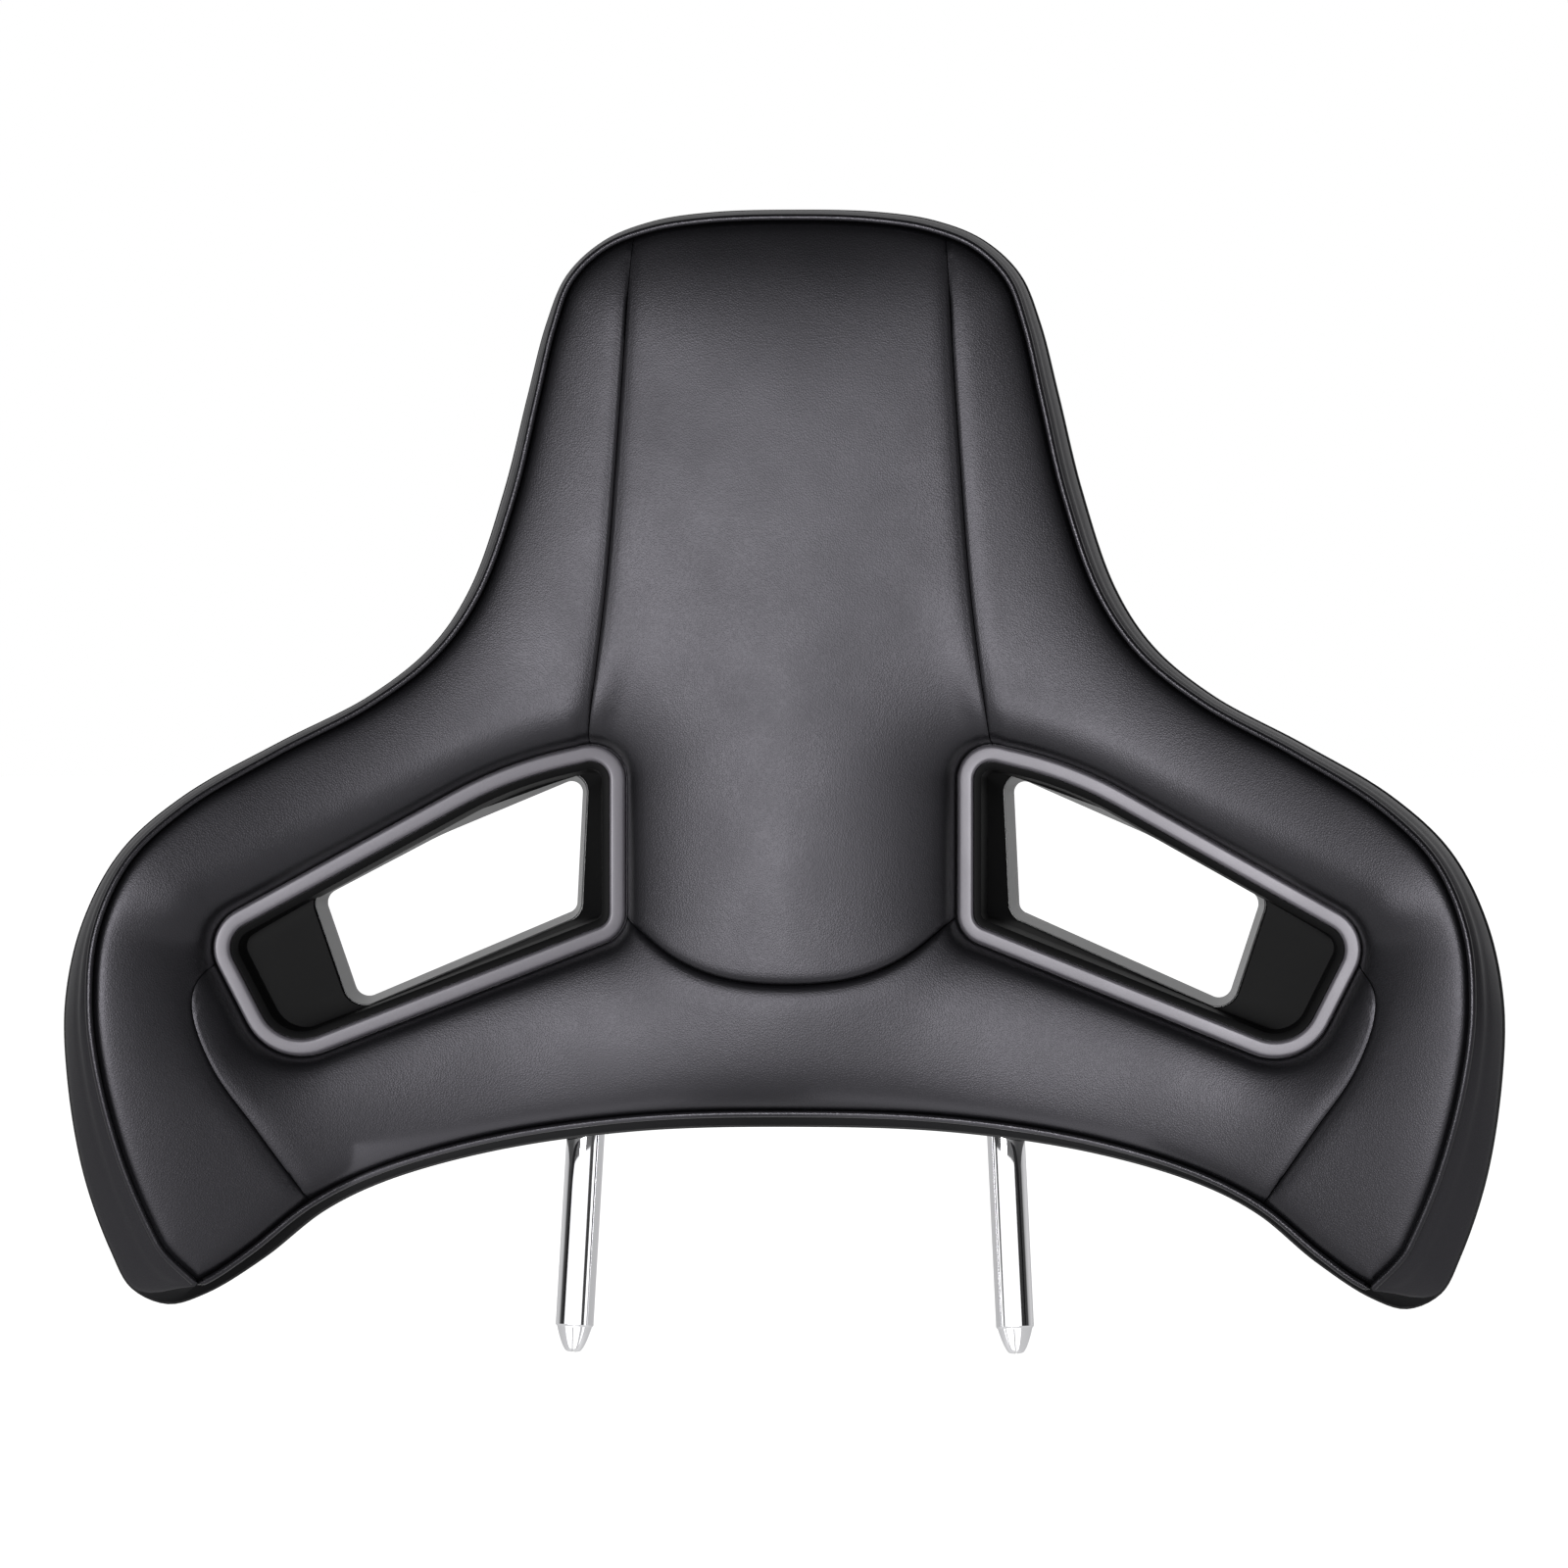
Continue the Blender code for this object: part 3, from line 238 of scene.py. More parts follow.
# Rear shell
SHELL_WALL = 2.5
SHELL_CROWN = 11.5
SHELL_CROWN_CENTRE = 27.0
SHELL_CENTRE_WIDTH = 105.0
SHELL_CROWN_EDGE = 34.0
SHELL_CROWN_LEAST = 1.0
SHELL_INNER_FADE = 22.0
SHELL_SKIRT = 6.0
POST_SKIRT = 25.0
POST_SKIRT_HALF = 104.0
POST_SKIRT_BLEND = 34.0
POST_SKIRT_TOP = 130.0
POST_SKIRT_FADE = 30.0
SHELL_BEVEL = 2.5
SHELL_BEVEL_DEPTH = 0.8
RIM_REVEAL = 0.5
RIM_ROUND = 0.7

# Bent steel hoop whose lower ends are the two posts
POST_DIAMETER = 14.0
POST_TIP_SPACING = 164.0
POST_SPLAY = math.radians(3.0)
POST_LEAN = math.radians(4.0)
POST_TIP_LENGTH = 10.0
POST_TIP_END = 1.9
POST_TIP_SHOULDER = 6.6
POST_TIP_POWER = 0.55
POST_SHOULDER_RISE = 0.7
POST_TIP_ROUND = (0.55, 0.8)
POST_TIP_HEIGHTS = (
    0.0, 0.1, 0.3, 0.6, 1.0, 1.6, 2.4, 3.4, 4.6, 6.0,
    7.6, 9.3, 9.5, 9.8, 10.0, 10.4, 12.0, 20.0, 40.0,
)
SLIT_WIDTH = 0.5
SLIT_LENGTH = 9.4
SLIT_OVERRUN = 1.0
JOG_START = 116.0
JOG_END = 174.0
HOOP_HALF_WIDTH = 42.0
HOOP_TOP = 334.0
HOOP_DEPTH = 13.0
JOG_RADIUS = 38.0
HOOP_RADIUS = 30.0
GROMMET_WALL = 1.6
GROMMET_LENGTH = 20.0
GROMMET_PROUD = 1.0
GROMMET_ROUND = 0.5
POST_HOLE_LENGTH = 60.0

# Plastics: name, colour, roughness, grain in millimetres, specular level
PLASTICS = [
    ("moulded_black_plastic", (0.010, 0.010, 0.0105), 0.5, 0.35, 0.3),
    ("liner_plastic", (0.004, 0.004, 0.0042), 0.55, 0.5, 0.08),
    ("matt_trim_plastic", (0.02, 0.02, 0.021), 0.5, 0.35, 0.0),
    # The neck's grey is partly its own tone and partly painted reflection: lighter than the liner,
    # to stand for the bright backdrop seen on it at a grazing angle.
    ("grey_neck_plastic_painted_reflection", (0.11, 0.11, 0.115), 0.28, 0.5, 0.6),
    ("ribbed_carrier_plastic", (0.055, 0.055, 0.055), 0.6, 0.4, 0.5),
]

# How fine the meshes are
EDGE_PITCH = 3.0
NET_PITCH = 3.2
SHELL_PITCH = 5.0
EDGE_RINGS = (0.7, 1.5, 2.6, 4.2, 6.4, 9.2)
BEZEL_RINGS = (0.5, 1.0, 1.6, 2.3, 3.2, 4.4, 6.2, 8.8, 12.0)
SHELL_RINGS = (1.5, 3.5, 6.0, 9.5)
SEAM_ROWS = (0.5, 1.0, 1.7, 2.9, 4.6)
RING_CLEARANCE = 0.85
SEAM_CLEARANCE = 0.45
GRID_CLEARANCE = 0.62
POINTS_APART = 0.45
NET_TOLERANCE = 1e-5
CORNER_STEPS = 14
ROUND_STEPS = 5
QUARTER_STEPS = 7
HOOP_STEP = 3.0
CORD_SIDES = 16
TUBE_SIDES = 48
SHARP_ANGLE = 35.0
PAD_SHARP_ANGLE = 50.0
HOOP_SHARP_ANGLE = 24.0
MERGE_DISTANCE = 0.004
CORD_MERGE_DISTANCE = 0.002
BLOCK = 3000


# Planar curves in the front view

def unit(vector):
    """The vector, or each row of an array, at length one."""
    return vector / np.linalg.norm(vector, axis=-1, keepdims=True)


def eased(value, low, high):
    """Smooth step: 0 up to low, 1 from high on."""
    share = np.clip((value - low) / (high - low), 0, 1)
    return share * share * (3 - 2 * share)


def blocks(points):
    """Slices that take many points a manageable number at a time."""
    return [slice(first, first + BLOCK) for first in range(0, len(points), BLOCK)]


def right_half(points):
    """The points as if all lay in the right half."""
    return np.column_stack([np.abs(points[:, 0]), points[:, 1]])


def spline_point(points, u):
    """Centripetal Catmull-Rom curve through points, at station u."""
    last = len(points) - 1
    i = min(int(u), last - 1)
    p1, p2 = points[i], points[i + 1]
    p0 = points[i - 1] if i > 0 else 2 * p1 - p2
    p3 = points[i + 2] if i + 2 <= last else 2 * p2 - p1
    t1 = math.sqrt(np.linalg.norm(p1 - p0))
    t2 = t1 + math.sqrt(np.linalg.norm(p2 - p1))
    t3 = t2 + math.sqrt(np.linalg.norm(p3 - p2))
    t = t1 + (t2 - t1) * (u - i)
    a1 = (t1 - t) / t1 * p0 + t / t1 * p1
    a2 = (t2 - t) / (t2 - t1) * p1 + (t - t1) / (t2 - t1) * p2
    a3 = (t3 - t) / (t3 - t2) * p2 + (t - t2) / (t3 - t2) * p3
    b1 = (t2 - t) / t2 * a1 + t / t2 * a2
    b2 = (t3 - t) / (t3 - t1) * a2 + (t - t1) / (t3 - t1) * a3
    return (t2 - t) / (t2 - t1) * b1 + (t - t1) / (t2 - t1) * b2


def with_mirrored_ends(points):
    """Adds one mirrored point at each end on the centre line, for a level tangent there."""
    first = points[1] * [-1, 1]
    last = points[-2] * [-1, 1]
    return np.vstack([first, points, last])


def spline_run(points, pitch):
    """Points about pitch apart along the curve through all given points."""
    points = np.array(points, float)
    run = []
    for i in range(len(points) - 1):
        count = max(1, math.ceil(np.linalg.norm(points[i + 1] - points[i]) / pitch))
        run += [spline_point(points, i + k / count) for k in range(count)]
    return np.array(run + [points[-1]])


def level_at_centre(points):
    """Right half of the curve through points and their mirror images, level on the centre line."""
    whole = spline_run(points + [(-x, z) for x, z in points[-2::-1]], EDGE_PITCH)
    return whole[:len(whole) // 2 + 1]


def fillet(a, b, c, radius):
    """Round at corner b between a and c: its centre, first and last spoke, and turn."""
    to_a, to_c = unit(a - b), unit(c - b)
    half = math.acos(np.clip(to_a @ to_c, -1, 1)) / 2
    centre = b + unit(to_a + to_c) * radius / math.sin(half)
    first, last = (b + way * radius / math.tan(half) - centre for way in (to_a, to_c))
    return centre, first, last, math.pi - 2 * half


def rounded_polygon(corners, side_counts):
    """Closed loop of corner arcs and straight sides; corners are x, z, radius."""
    count = len(corners)
    arcs = []
    for i in range(count):
        a, b, c = (np.array(corners[(i + k) % count][:2], float) for k in (-1, 0, 1))
        radius = corners[i][2]
        centre, start, end, _ = fillet(a, b, c, radius)
        first = math.atan2(start[1], start[0])
        turn = (math.atan2(end[1], end[0]) - first + math.pi) % (2 * math.pi) - math.pi
        angles = [first + turn * k / CORNER_STEPS for k in range(CORNER_STEPS + 1)]
        arcs.append([centre + radius * np.array([math.cos(g), math.sin(g)]) for g in angles])
    loop = []
    for i, arc in enumerate(arcs):
        loop += arc
        gap = arcs[(i + 1) % count][0] - arc[-1]
        loop += [arc[-1] + gap * k / side_counts[i] for k in range(1, side_counts[i])]
    return np.array(loop)


def side_steps(corners, pitch):
    """Number of steps along the side that follows each corner."""
    points = np.array([c[:2] for c in corners])
    lengths = np.linalg.norm(np.roll(points, -1, axis=0) - points, axis=1)
    return [max(1, round(length / pitch) - 1) for length in lengths]


def signed_area(loop):
    x, z = loop[:, 0], loop[:, 1]
    return 0.5 * float(np.sum(x * np.roll(z, -1) - np.roll(x, -1) * z))


def inward_normals(loop):
    """Inward direction at each point, longer at a corner so that an inset keeps its width."""
    edge = unit(np.roll(loop, -1, axis=0) - loop)
    side = 1.0 if signed_area(loop) > 0 else -1.0
    after = np.stack([-edge[:, 1], edge[:, 0]], axis=1) * side
    before = np.roll(after, 1, axis=0)
    share = 1 + (after * before).sum(1)
    return (after + before) / np.maximum(share, 0.5)[:, None]


def inset_loop(loop, distance):
    return loop + inward_normals(loop) * distance


def mirrored(loop):
    return np.array(loop)[::-1] * [-1, 1]


def distance_to(points, line, closed=False):
    """Shortest distance from each point to a polyline."""
    start = line if closed else line[:-1]
    end = np.roll(line, -1, axis=0) if closed else line[1:]
    edge = end - start
    square = (edge * edge).sum(1)
    nearest = np.empty(len(points))
    for part in blocks(points):
        away = points[part, None] - start[None]
        share = np.clip((away * edge[None]).sum(2) / square, 0, 1)
        gap = away - share[..., None] * edge[None]
        nearest[part] = (gap * gap).sum(2).min(1)
    return np.sqrt(nearest)


def edge_distance(points, line):
    """Distance to a long edge, without a crease where two stretches of it are equally near.

    Far from the edge it comes from a sum over all of its steps, which for one straight edge
    gives the distance itself.
    """
    start, end = line[:-1], line[1:]
    length = np.linalg.norm(end - start, axis=1)
    middle = (start + end) / 2
    soft = np.empty(len(points))
    for part in blocks(points):
        away = points[part, None] - middle[None]
        soft[part] = (length / ((away * away).sum(2) + 1.0) ** 3).sum(1)
    soft = (soft / (3 * math.pi / 8)) ** -0.2
    exact = distance_to(points, line)
    share = eased(exact, 1.5 * EDGE_PITCH, 3.5 * EDGE_PITCH)
    return exact * (1 - share) + soft * share


def away_direction(points, loop):
    """Unit direction from the nearest part of a loop to each point, turning smoothly."""
    found = np.empty((len(points), 2))
    for part in blocks(points):
        away = points[part, None] - loop[None]
        weight = ((away * away).sum(2) + EDGE_PITCH ** 2) ** -3
        found[part] = unit((away * weight[..., None]).sum(1))
    return found


def carried(points, loop, shift):
    """The shift of the nearest part of a loop, for each point, blended smoothly."""
    found = np.empty((len(points), 2))
    for part in blocks(points):
        away = points[part, None] - loop[None]
        weight = ((away * away).sum(2) + 0.5) ** -2
        found[part] = (weight / weight.sum(1)[:, None]) @ shift
    return found


def inside(points, loop):
    x1, z1 = loop[:, 0][None], loop[:, 1][None]
    x2, z2 = np.roll(loop, -1, axis=0).T[:, None]
    found = np.empty(len(points), bool)
    for part in blocks(points):
        x, z = points[part, 0][:, None], points[part, 1][:, None]
        crosses = ((z1 > z) != (z2 > z)) & (x < (x2 - x1) * (z - z1) / (z2 - z1 + 1e-12) + x1)
        found[part] = crosses.sum(1) % 2 == 1
    return found


def edge_runs(count, tip, wrap=0):
    """Index runs round the loop: over the top from tip to tip, and along the bottom."""
    upper = [k % count for k in range(count - tip, count + tip + 1)]
    lower = list(range(tip - wrap, count - tip + wrap + 1))
    return upper, lower


def outline_loops():
    """Matched loops of the rear edge and the front piping line, and the index of the wing tip."""
    rows = np.array(OUTLINE)
    rear = rows[:, :2]
    tip = int(np.argmin(rear[:, 1]))
    half = with_mirrored_ends(rear)
    step = 0.02
    front = []
    for i in range(len(rear)):
        along = unit(spline_point(half, i + 1 + step) - spline_point(half, i + 1 - step))
        inward = np.array([along[1], -along[0]])
        point = rear[i] + inward * rows[i, 2]
        if tip <= i < tip + len(TIP_SLIDES):
            point = point + along * TIP_SLIDES[i - tip]
        front.append(point)
    front = np.array(front)
    upper = np.vstack([front[1] * [-1, 1], front[:tip + 1]])
    lower = np.vstack([front[tip:], front[-2] * [-1, 1]])
    stations = []
    for i in range(len(rear) - 1):
        count = max(1, math.ceil(np.linalg.norm(rear[i + 1] - rear[i]) / EDGE_PITCH))
        stations += [i + k / count for k in range(count)]
    stations.append(float(len(rear) - 1))
    rear_half = [spline_point(half, u + 1) for u in stations]
    front_half = []
    for u in stations:
        if u <= tip:
            front_half.append(spline_point(upper, u + 1))
        else:
            front_half.append(spline_point(lower, u - tip))
    rear_loop = np.array(rear_half + [p * [-1, 1] for p in rear_half[-2:0:-1]])
    front_loop = np.array(front_half + [p * [-1, 1] for p in front_half[-2:0:-1]])
    return rear_loop, front_loop, stations.index(float(tip))


# Depth surfaces

def rim_y(x):
    return RIM_BACK - WING_SWEEP * (np.abs(x) / SWEEP_SPAN) ** SWEEP_POWER


def piping_y(x):
    return rim_y(x) - BAND_DEPTH - BAND_DEPTH_WING * (np.abs(x) / SWEEP_SPAN) ** 2


def bezel_y(x):
    """Flat face of the bezels, which stand off the rim by one lift inside and another outside."""
    inner_x, outer_x = BEZEL_CORNERS[1][0], BEZEL_CORNERS[4][0]
    inner_y, outer_y = rim_y(inner_x) - BEZEL_INNER_LIFT, rim_y(outer_x) - BEZEL_OUTER_LIFT
    return inner_y + (outer_y - inner_y) * (np.abs(x) - inner_x) / (outer_x - inner_x)


def crown_share(distance, width, power=CROWN_POWER):
    return 1 - (1 - np.clip(distance / width, 0, 1)) ** power


def rise(distance, width):
    """Growth of a padded crown away from its edge: quick at first, then levelling out."""
    return 1 - np.exp(-np.maximum(distance, 0) / width)


def rolled(distance, radius):
    """Drop of a quarter-round edge at each distance from it."""
    away = radius - np.clip(distance, 0, radius)
    return radius - np.sqrt(np.maximum(radius ** 2 - away ** 2, 0))


def hand_wave(points):
    """The slight unevenness of hand-fitted leather."""
    scale = 1 / HAND_WAVE_LENGTH
    heights = [noise.noise(Vector((x * scale, z * scale, 0.0))) for x, z in points]
    return np.array(heights) * HAND_WAVE


class Form:
    """The shared curves of the head restraint in its front view."""

    def __init__(self):
        self.rear, self.front, self.tip = outline_loops()
        steps = side_steps(BEZEL_CORNERS, EDGE_PITCH)
        self.bezel = rounded_polygon(BEZEL_CORNERS, steps)
        self.seat = inset_loop(self.bezel, -GAP)
        self.opening = rounded_polygon(REAR_CORNERS, steps)
        self.centre_seam = spline_run(CENTRE_SEAM, EDGE_PITCH)
        self.arc_seam = level_at_centre(ARC_SEAM)
        self.wing_seam = spline_run(WING_SEAM, EDGE_PITCH)
        upper, lower = edge_runs(len(self.rear), self.tip)
        self.upper_edge, self.lower_edge = self.front[upper], self.front[lower]
        self.flare = self.rear - self.front
        self.inward = inward_normals(self.front)

    def bezel_distance(self, right):
        gap = distance_to(right, self.seat, closed=True)
        return np.where(inside(right, self.seat), 0.0, gap)

    def halo(self, right):
        """How far the cover has sunk towards the bezels: a soft slope, then a steep side."""
        gap = self.bezel_distance(right)
        upwards = away_direction(right, self.seat) @ HALO_UPPER_SIDE
        above = eased(upwards, HALO_BLEND_FROM, HALO_BLEND_TO)
        share = HALO_SHARE + (HALO_SHARE_ABOVE - HALO_SHARE) * above
        soft = np.exp(-gap / HALO_WIDTH) * (1 - above)
        soft += np.exp(-(gap / HALO_WIDTH_ABOVE) ** 2) * above
        return share * soft + (1 - share) * np.exp(-gap / HALO_CLIFF)

    def front_y(self, points):
        """Outer face of the leather cover."""
        right = right_half(points)
        x = right[:, 0]
        edge = distance_to(points, self.front, closed=True)
        upper = edge_distance(points, self.upper_edge)
        lower = edge_distance(points, self.lower_edge)
        lip_share = LOWER_LIP_SHARE * rise(lower, LOWER_LIP_WIDTH)
        lip_share += (1 - LOWER_LIP_SHARE) * rise(lower, LOWER_CROWN_WIDTH)
        y = piping_y(x) - EDGE_CROWN * rise(upper, EDGE_CROWN_WIDTH) * lip_share
        from_top = self.front[0, 1] - points[:, 1]
        bulge = np.exp(-(x / CENTRE_BULGE_WIDTH) ** 2) * rise(from_top, CENTRE_BULGE_RISE)
        y -= CENTRE_BULGE * bulge * rise(edge, CENTRE_BULGE_FADE)
        arc = distance_to(right, self.arc_seam)
        level = np.interp(x, self.arc_seam[::-1, 0], self.arc_seam[::-1, 1])
        under = ARC_STEP * np.exp(-arc / ARC_STEP_WIDTH)
        y += np.where(right[:, 1] < level, under, ARC_EASE * np.exp(-(arc / ARC_EASE_WIDTH) ** 2))
        y += rolled(arc, ARC_ROLL)
        for seam in (self.centre_seam, self.wing_seam):
            away = distance_to(right, seam)
            share = np.exp(-(away / SEAM_DIP_WIDTH) ** 2)
            y += SEAM_DIP * share * crown_share(edge, SEAM_DIP_WIDTH)
            y += rolled(away, SEAM_ROLL)
        seat = bezel_y(x) + BEZEL_HEIGHT + GAP
        near = self.halo(right)
        y = y * (1 - near) + seat * near
        lip = edge - PIPING_DIAMETER / 2 - GAP
        y += EDGE_ROLL * np.exp(-np.maximum(lip, 0) / EDGE_ROLL_WIDTH)
        return y + hand_wave(points) * rise(edge, WAVE_FADE)

    def carrier_y(self, points):
        """Just in front of the carrier, where the padding ends."""
        right = right_half(points)
        x = right[:, 0]
        level = rim_y(x) - PAD_BACK_LIFT
        behind = np.maximum(level, bezel_y(x) + CARRIER_BEZEL_DEPTH)
        near = 1 - crown_share(self.bezel_distance(right), CARRIER_BEZEL_REACH, 2.0)
        return level * (1 - near) + behind * near

    def skirt(self, points):
        """Depth of the shell's side wall: deeper below, where the posts pass through it."""
        x = np.abs(points[:, 0])
        share = eased(POST_SKIRT_HALF + POST_SKIRT_BLEND - x, 0, POST_SKIRT_BLEND)
        low = np.clip((POST_SKIRT_TOP - points[:, 1]) / POST_SKIRT_FADE, 0, 1)
        return SHELL_SKIRT + (POST_SKIRT - SHELL_SKIRT) * share * low

    def shell_y(self, points):
        """Outer face of the rear shell."""
        x = np.abs(points[:, 0])
        crown = SHELL_CROWN + SHELL_CROWN_CENTRE * np.exp(-(x / SHELL_CENTRE_WIDTH) ** 2)
        edge = distance_to(points, self.rear, closed=True) - SHELL_BEVEL
        skirt = np.minimum(self.skirt(points), crown - SHELL_CROWN_LEAST)
        return rim_y(x) + skirt + (crown - skirt) * crown_share(edge, SHELL_CROWN_EDGE)

    def place(self, points, flare, inset):
        """Moves points near the edge out towards the rear outline, or in from the edge."""
        shift = self.flare * flare + self.inward * inset
        edge = distance_to(points, self.front, closed=True)
        fade = (1 - np.clip(edge / FLARE_FADE, 0, 1)) ** 2
        return points + carried(points, self.front, shift) * fade[:, None]


# Mesh helpers

def linked(name, data):
    item = bpy.data.objects.new(name, data)
    bpy.context.scene.collection.objects.link(item)
    return item


def turn_outwards(mesh, merge_distance):
    """Merges doubles and turns the faces of a closed mesh outwards."""
    shape = bmesh.new()
    shape.from_mesh(mesh)
    bmesh.ops.remove_doubles(shape, verts=shape.verts, dist=merge_distance * MM)
    bmesh.ops.recalc_face_normals(shape, faces=shape.faces)
    if shape.calc_volume(signed=True) < 0:
        bmesh.ops.reverse_faces(shape, faces=shape.faces)
    shape.to_mesh(mesh)
    shape.free()


def smooth(mesh, sharp_angle):
    mesh.shade_smooth()
    mesh.set_sharp_from_angle(angle=math.radians(sharp_angle))


def add_piece(name, verts, faces, mat, sharp_angle=SHARP_ANGLE):
    """Closed mesh from millimetre points, with its faces turned outwards."""
    mesh = bpy.data.meshes.new(name)
    mesh.from_pydata((np.asarray(verts, float) * MM).tolist(), [], [tuple(f) for f in faces])
    turn_outwards(mesh, MERGE_DISTANCE)
    mesh.materials.append(mat)
    smooth(mesh, sharp_angle)
    return linked(name, mesh)


def settle(item):
    """Works the modifiers of a piece into a plain mesh."""
    depsgraph = bpy.context.evaluated_depsgraph_get()
    mesh = bpy.data.meshes.new_from_object(item.evaluated_get(depsgraph))
    item.modifiers.clear()
    item.data = mesh
    smooth(mesh, SHARP_ANGLE)


def cut(item, cutter):
    step = item.modifiers.new("Cut", "BOOLEAN")
    step.operation = "DIFFERENCE"
    step.solver = "EXACT"
    step.object = cutter
    settle(item)
    bpy.data.objects.remove(cutter, do_unlink=True)


def lifted(points, y):
    return np.column_stack([points[:, 0], np.broadcast_to(y, len(points)), points[:, 1]])


def boundary_edges(tris):
    seen = {(a, b) for t in tris for a, b in ((t[0], t[1]), (t[1], t[2]), (t[2], t[0]))}
    return [(a, b) for a, b in sorted(seen) if (b, a) not in seen]


def compacted(verts, faces):
    """Leaves out the points that no face uses."""
    used = sorted({i for f in faces for i in f})
    index = {old: new for new, old in enumerate(used)}
    return verts[used], [tuple(index[i] for i in f) for f in faces]


def layer(front, back, tris):
    """Closed solid between two faces that share one net."""
    count = len(front)
    faces = [tuple(t) for t in tris]
    faces += [tuple(count + i for i in t[::-1]) for t in tris]
    faces += [(b, a, count + a, count + b) for a, b in boundary_edges(tris)]
    return compacted(np.vstack([front, back]), faces)


def numbered(loops, start=0):
    """Vertex numbers of stacked loops, one list for each loop."""
    size = len(loops[0])
    return [list(range(start + r * size, start + (r + 1) * size)) for r in range(len(loops))]


def bridged(rows):
    """Four-sided faces from each closed row of vertex numbers to the next."""
    faces = []
    for a, b in zip(rows, rows[1:]):
        after = list(range(1, len(a))) + [0]
        faces += [(a[k], a[n], b[n], b[k]) for k, n in enumerate(after)]
    return faces


def ring_solid(rings):
    """Closed ring through matched loops, the last joined back to the first."""
    rows = numbered(rings)
    return np.vstack(rings), bridged(rows + rows[:1])


def strip_solid(sections):
    """Band with closed ends through cross-sections that are matched point for point."""
    rows = numbered(sections)
    return np.vstack(sections), bridged(rows) + [tuple(rows[0][::-1]), tuple(rows[-1])]


def sweep_tube(path, radii, sides):
    """Round section carried along a path without twist."""
    path = np.array(path, float)
    tangents = unit(np.gradient(path, axis=0))
    side = np.cross(tangents[0], [0.0, 1.0, 0.0])
    rows = []
    for point, along, radius in zip(path, tangents, radii):
        side = unit(side - along * (side @ along))
        up = np.cross(along, side)
        angles = [2 * math.pi * k / sides for k in range(sides)]
        rows.append([point + radius * (math.cos(a) * side + math.sin(a) * up) for a in angles])
    return strip_solid(rows)


def spread(points, apart, kept=()):
    """Leaves out every point that is too close to one before it."""
    cells = {}
    result = []
    for rank, (x, z) in enumerate(list(kept) + list(points)):
        column, row = math.floor(x / apart), math.floor(z / apart)
        if rank >= len(kept):
            keys = [(column + i, row + j) for i in (-1, 0, 1) for j in (-1, 0, 1)]
            near = [q for key in keys for q in cells.get(key, ())]
            if any((x - q[0]) ** 2 + (z - q[1]) ** 2 < apart ** 2 for q in near):
                continue
            result.append((x, z))
        cells.setdefault((column, row), []).append((x, z))
    return np.array(result)


def fine_net(loops, lines, free, pitch):
    """Triangles inside the first closed loop and outside the others, cut along the open lines."""
    fixed = np.vstack(loops + lines)
    edges = []
    start = 0
    for loop in loops:
        edges += [(start + k, start + (k + 1) % len(loop)) for k in range(len(loop))]
        start += len(loop)
    for line in lines:
        edges += [(start + k, start + k + 1) for k in range(len(line) - 1)]
        start += len(line)
    free = spread(within(free, loops), POINTS_APART, fixed)
    low, high = loops[0].min(0), loops[0].max(0)
    reach = math.ceil(high[0] / pitch)
    row_height = pitch * math.sqrt(0.75)
    grid = []
    for row in range(math.ceil((high[1] - low[1]) / row_height)):
        shift, z = pitch / 2 * (row % 2), low[1] + row * row_height
        grid += [(k * pitch + shift, z) for k in range(-reach - 1, reach + 1)]
    taken = np.vstack([fixed, free])
    grid = spread(within(np.array(grid), loops), pitch * GRID_CLEARANCE, taken)
    points = [Vector(p) for p in np.vstack([taken, grid])]
    triangulated = delaunay_2d_cdt(points, edges, [], 0, NET_TOLERANCE)
    net, tris = (np.array([tuple(part) for part in triangulated[k]]) for k in (0, 2))
    keep = within_mask(net[tris].mean(1), loops)
    a, b, c = (net[tris[:, k]] for k in range(3))
    area = np.abs((b - a)[:, 0] * (c - a)[:, 1] - (b - a)[:, 1] * (c - a)[:, 0])
    keep &= area > NET_TOLERANCE
    return net, tris[keep]


def within_mask(points, loops):
    keep = inside(points, loops[0])
    for loop in loops[1:]:
        keep &= ~inside(points, loop)
    return keep


def within(points, loops):
    """Points between the loops that aren't on one of them."""
    points = points[within_mask(points, loops)]
    gap = np.min([distance_to(points, loop, closed=True) for loop in loops], axis=0)
    return points[gap > POINTS_APART]


# Padded front cover

def extended(line, start=None, end=None):
    parts = [line]
    if start is not None:
        parts.insert(0, [start])
    if end is not None:
        parts.append([end])
    return np.vstack(parts)


def seam_lines(form):
    """The seams carried on past the edges that they run into."""
    inner_x = BEZEL_CORNERS[1][0] + BEZEL_WIDTH + SEAM_OVERRUN / 2
    outer_x = BEZEL_CORNERS[4][0] - BEZEL_WIDTH - SEAM_OVERRUN
    first, last = form.centre_seam[0], form.wing_seam[-1]
    centre_end = [inner_x, form.centre_seam[-1][1] - SEAM_OVERRUN]
    centre = extended(form.centre_seam, first + [0.0, SEAM_OVERRUN], centre_end)
    arc = extended(form.arc_seam, start=[inner_x, form.arc_seam[0][1] + SEAM_OVERRUN / 2])
    arc = np.vstack([arc, mirrored(arc)[1:]])
    wing_end = last + [-SEAM_OVERRUN / 2, -SEAM_OVERRUN]
    wing = extended(form.wing_seam, [outer_x, form.wing_seam[0][1]], wing_end)
    return centre, arc, wing


def offset_line(line, distance):
    along = unit(np.gradient(line, axis=0))
    return line + np.stack([-along[:, 1], along[:, 0]], axis=1) * distance


def rings_inside(loop, distances):
    """Loops at several distances inside one, without the parts that fold over at a corner."""
    rings = []
    for distance in distances:
        ring = inset_loop(loop, distance)
        clear = distance_to(ring, loop, closed=True) > abs(distance) * RING_CLEARANCE
        rings.append(ring[clear])
    return np.vstack(rings)


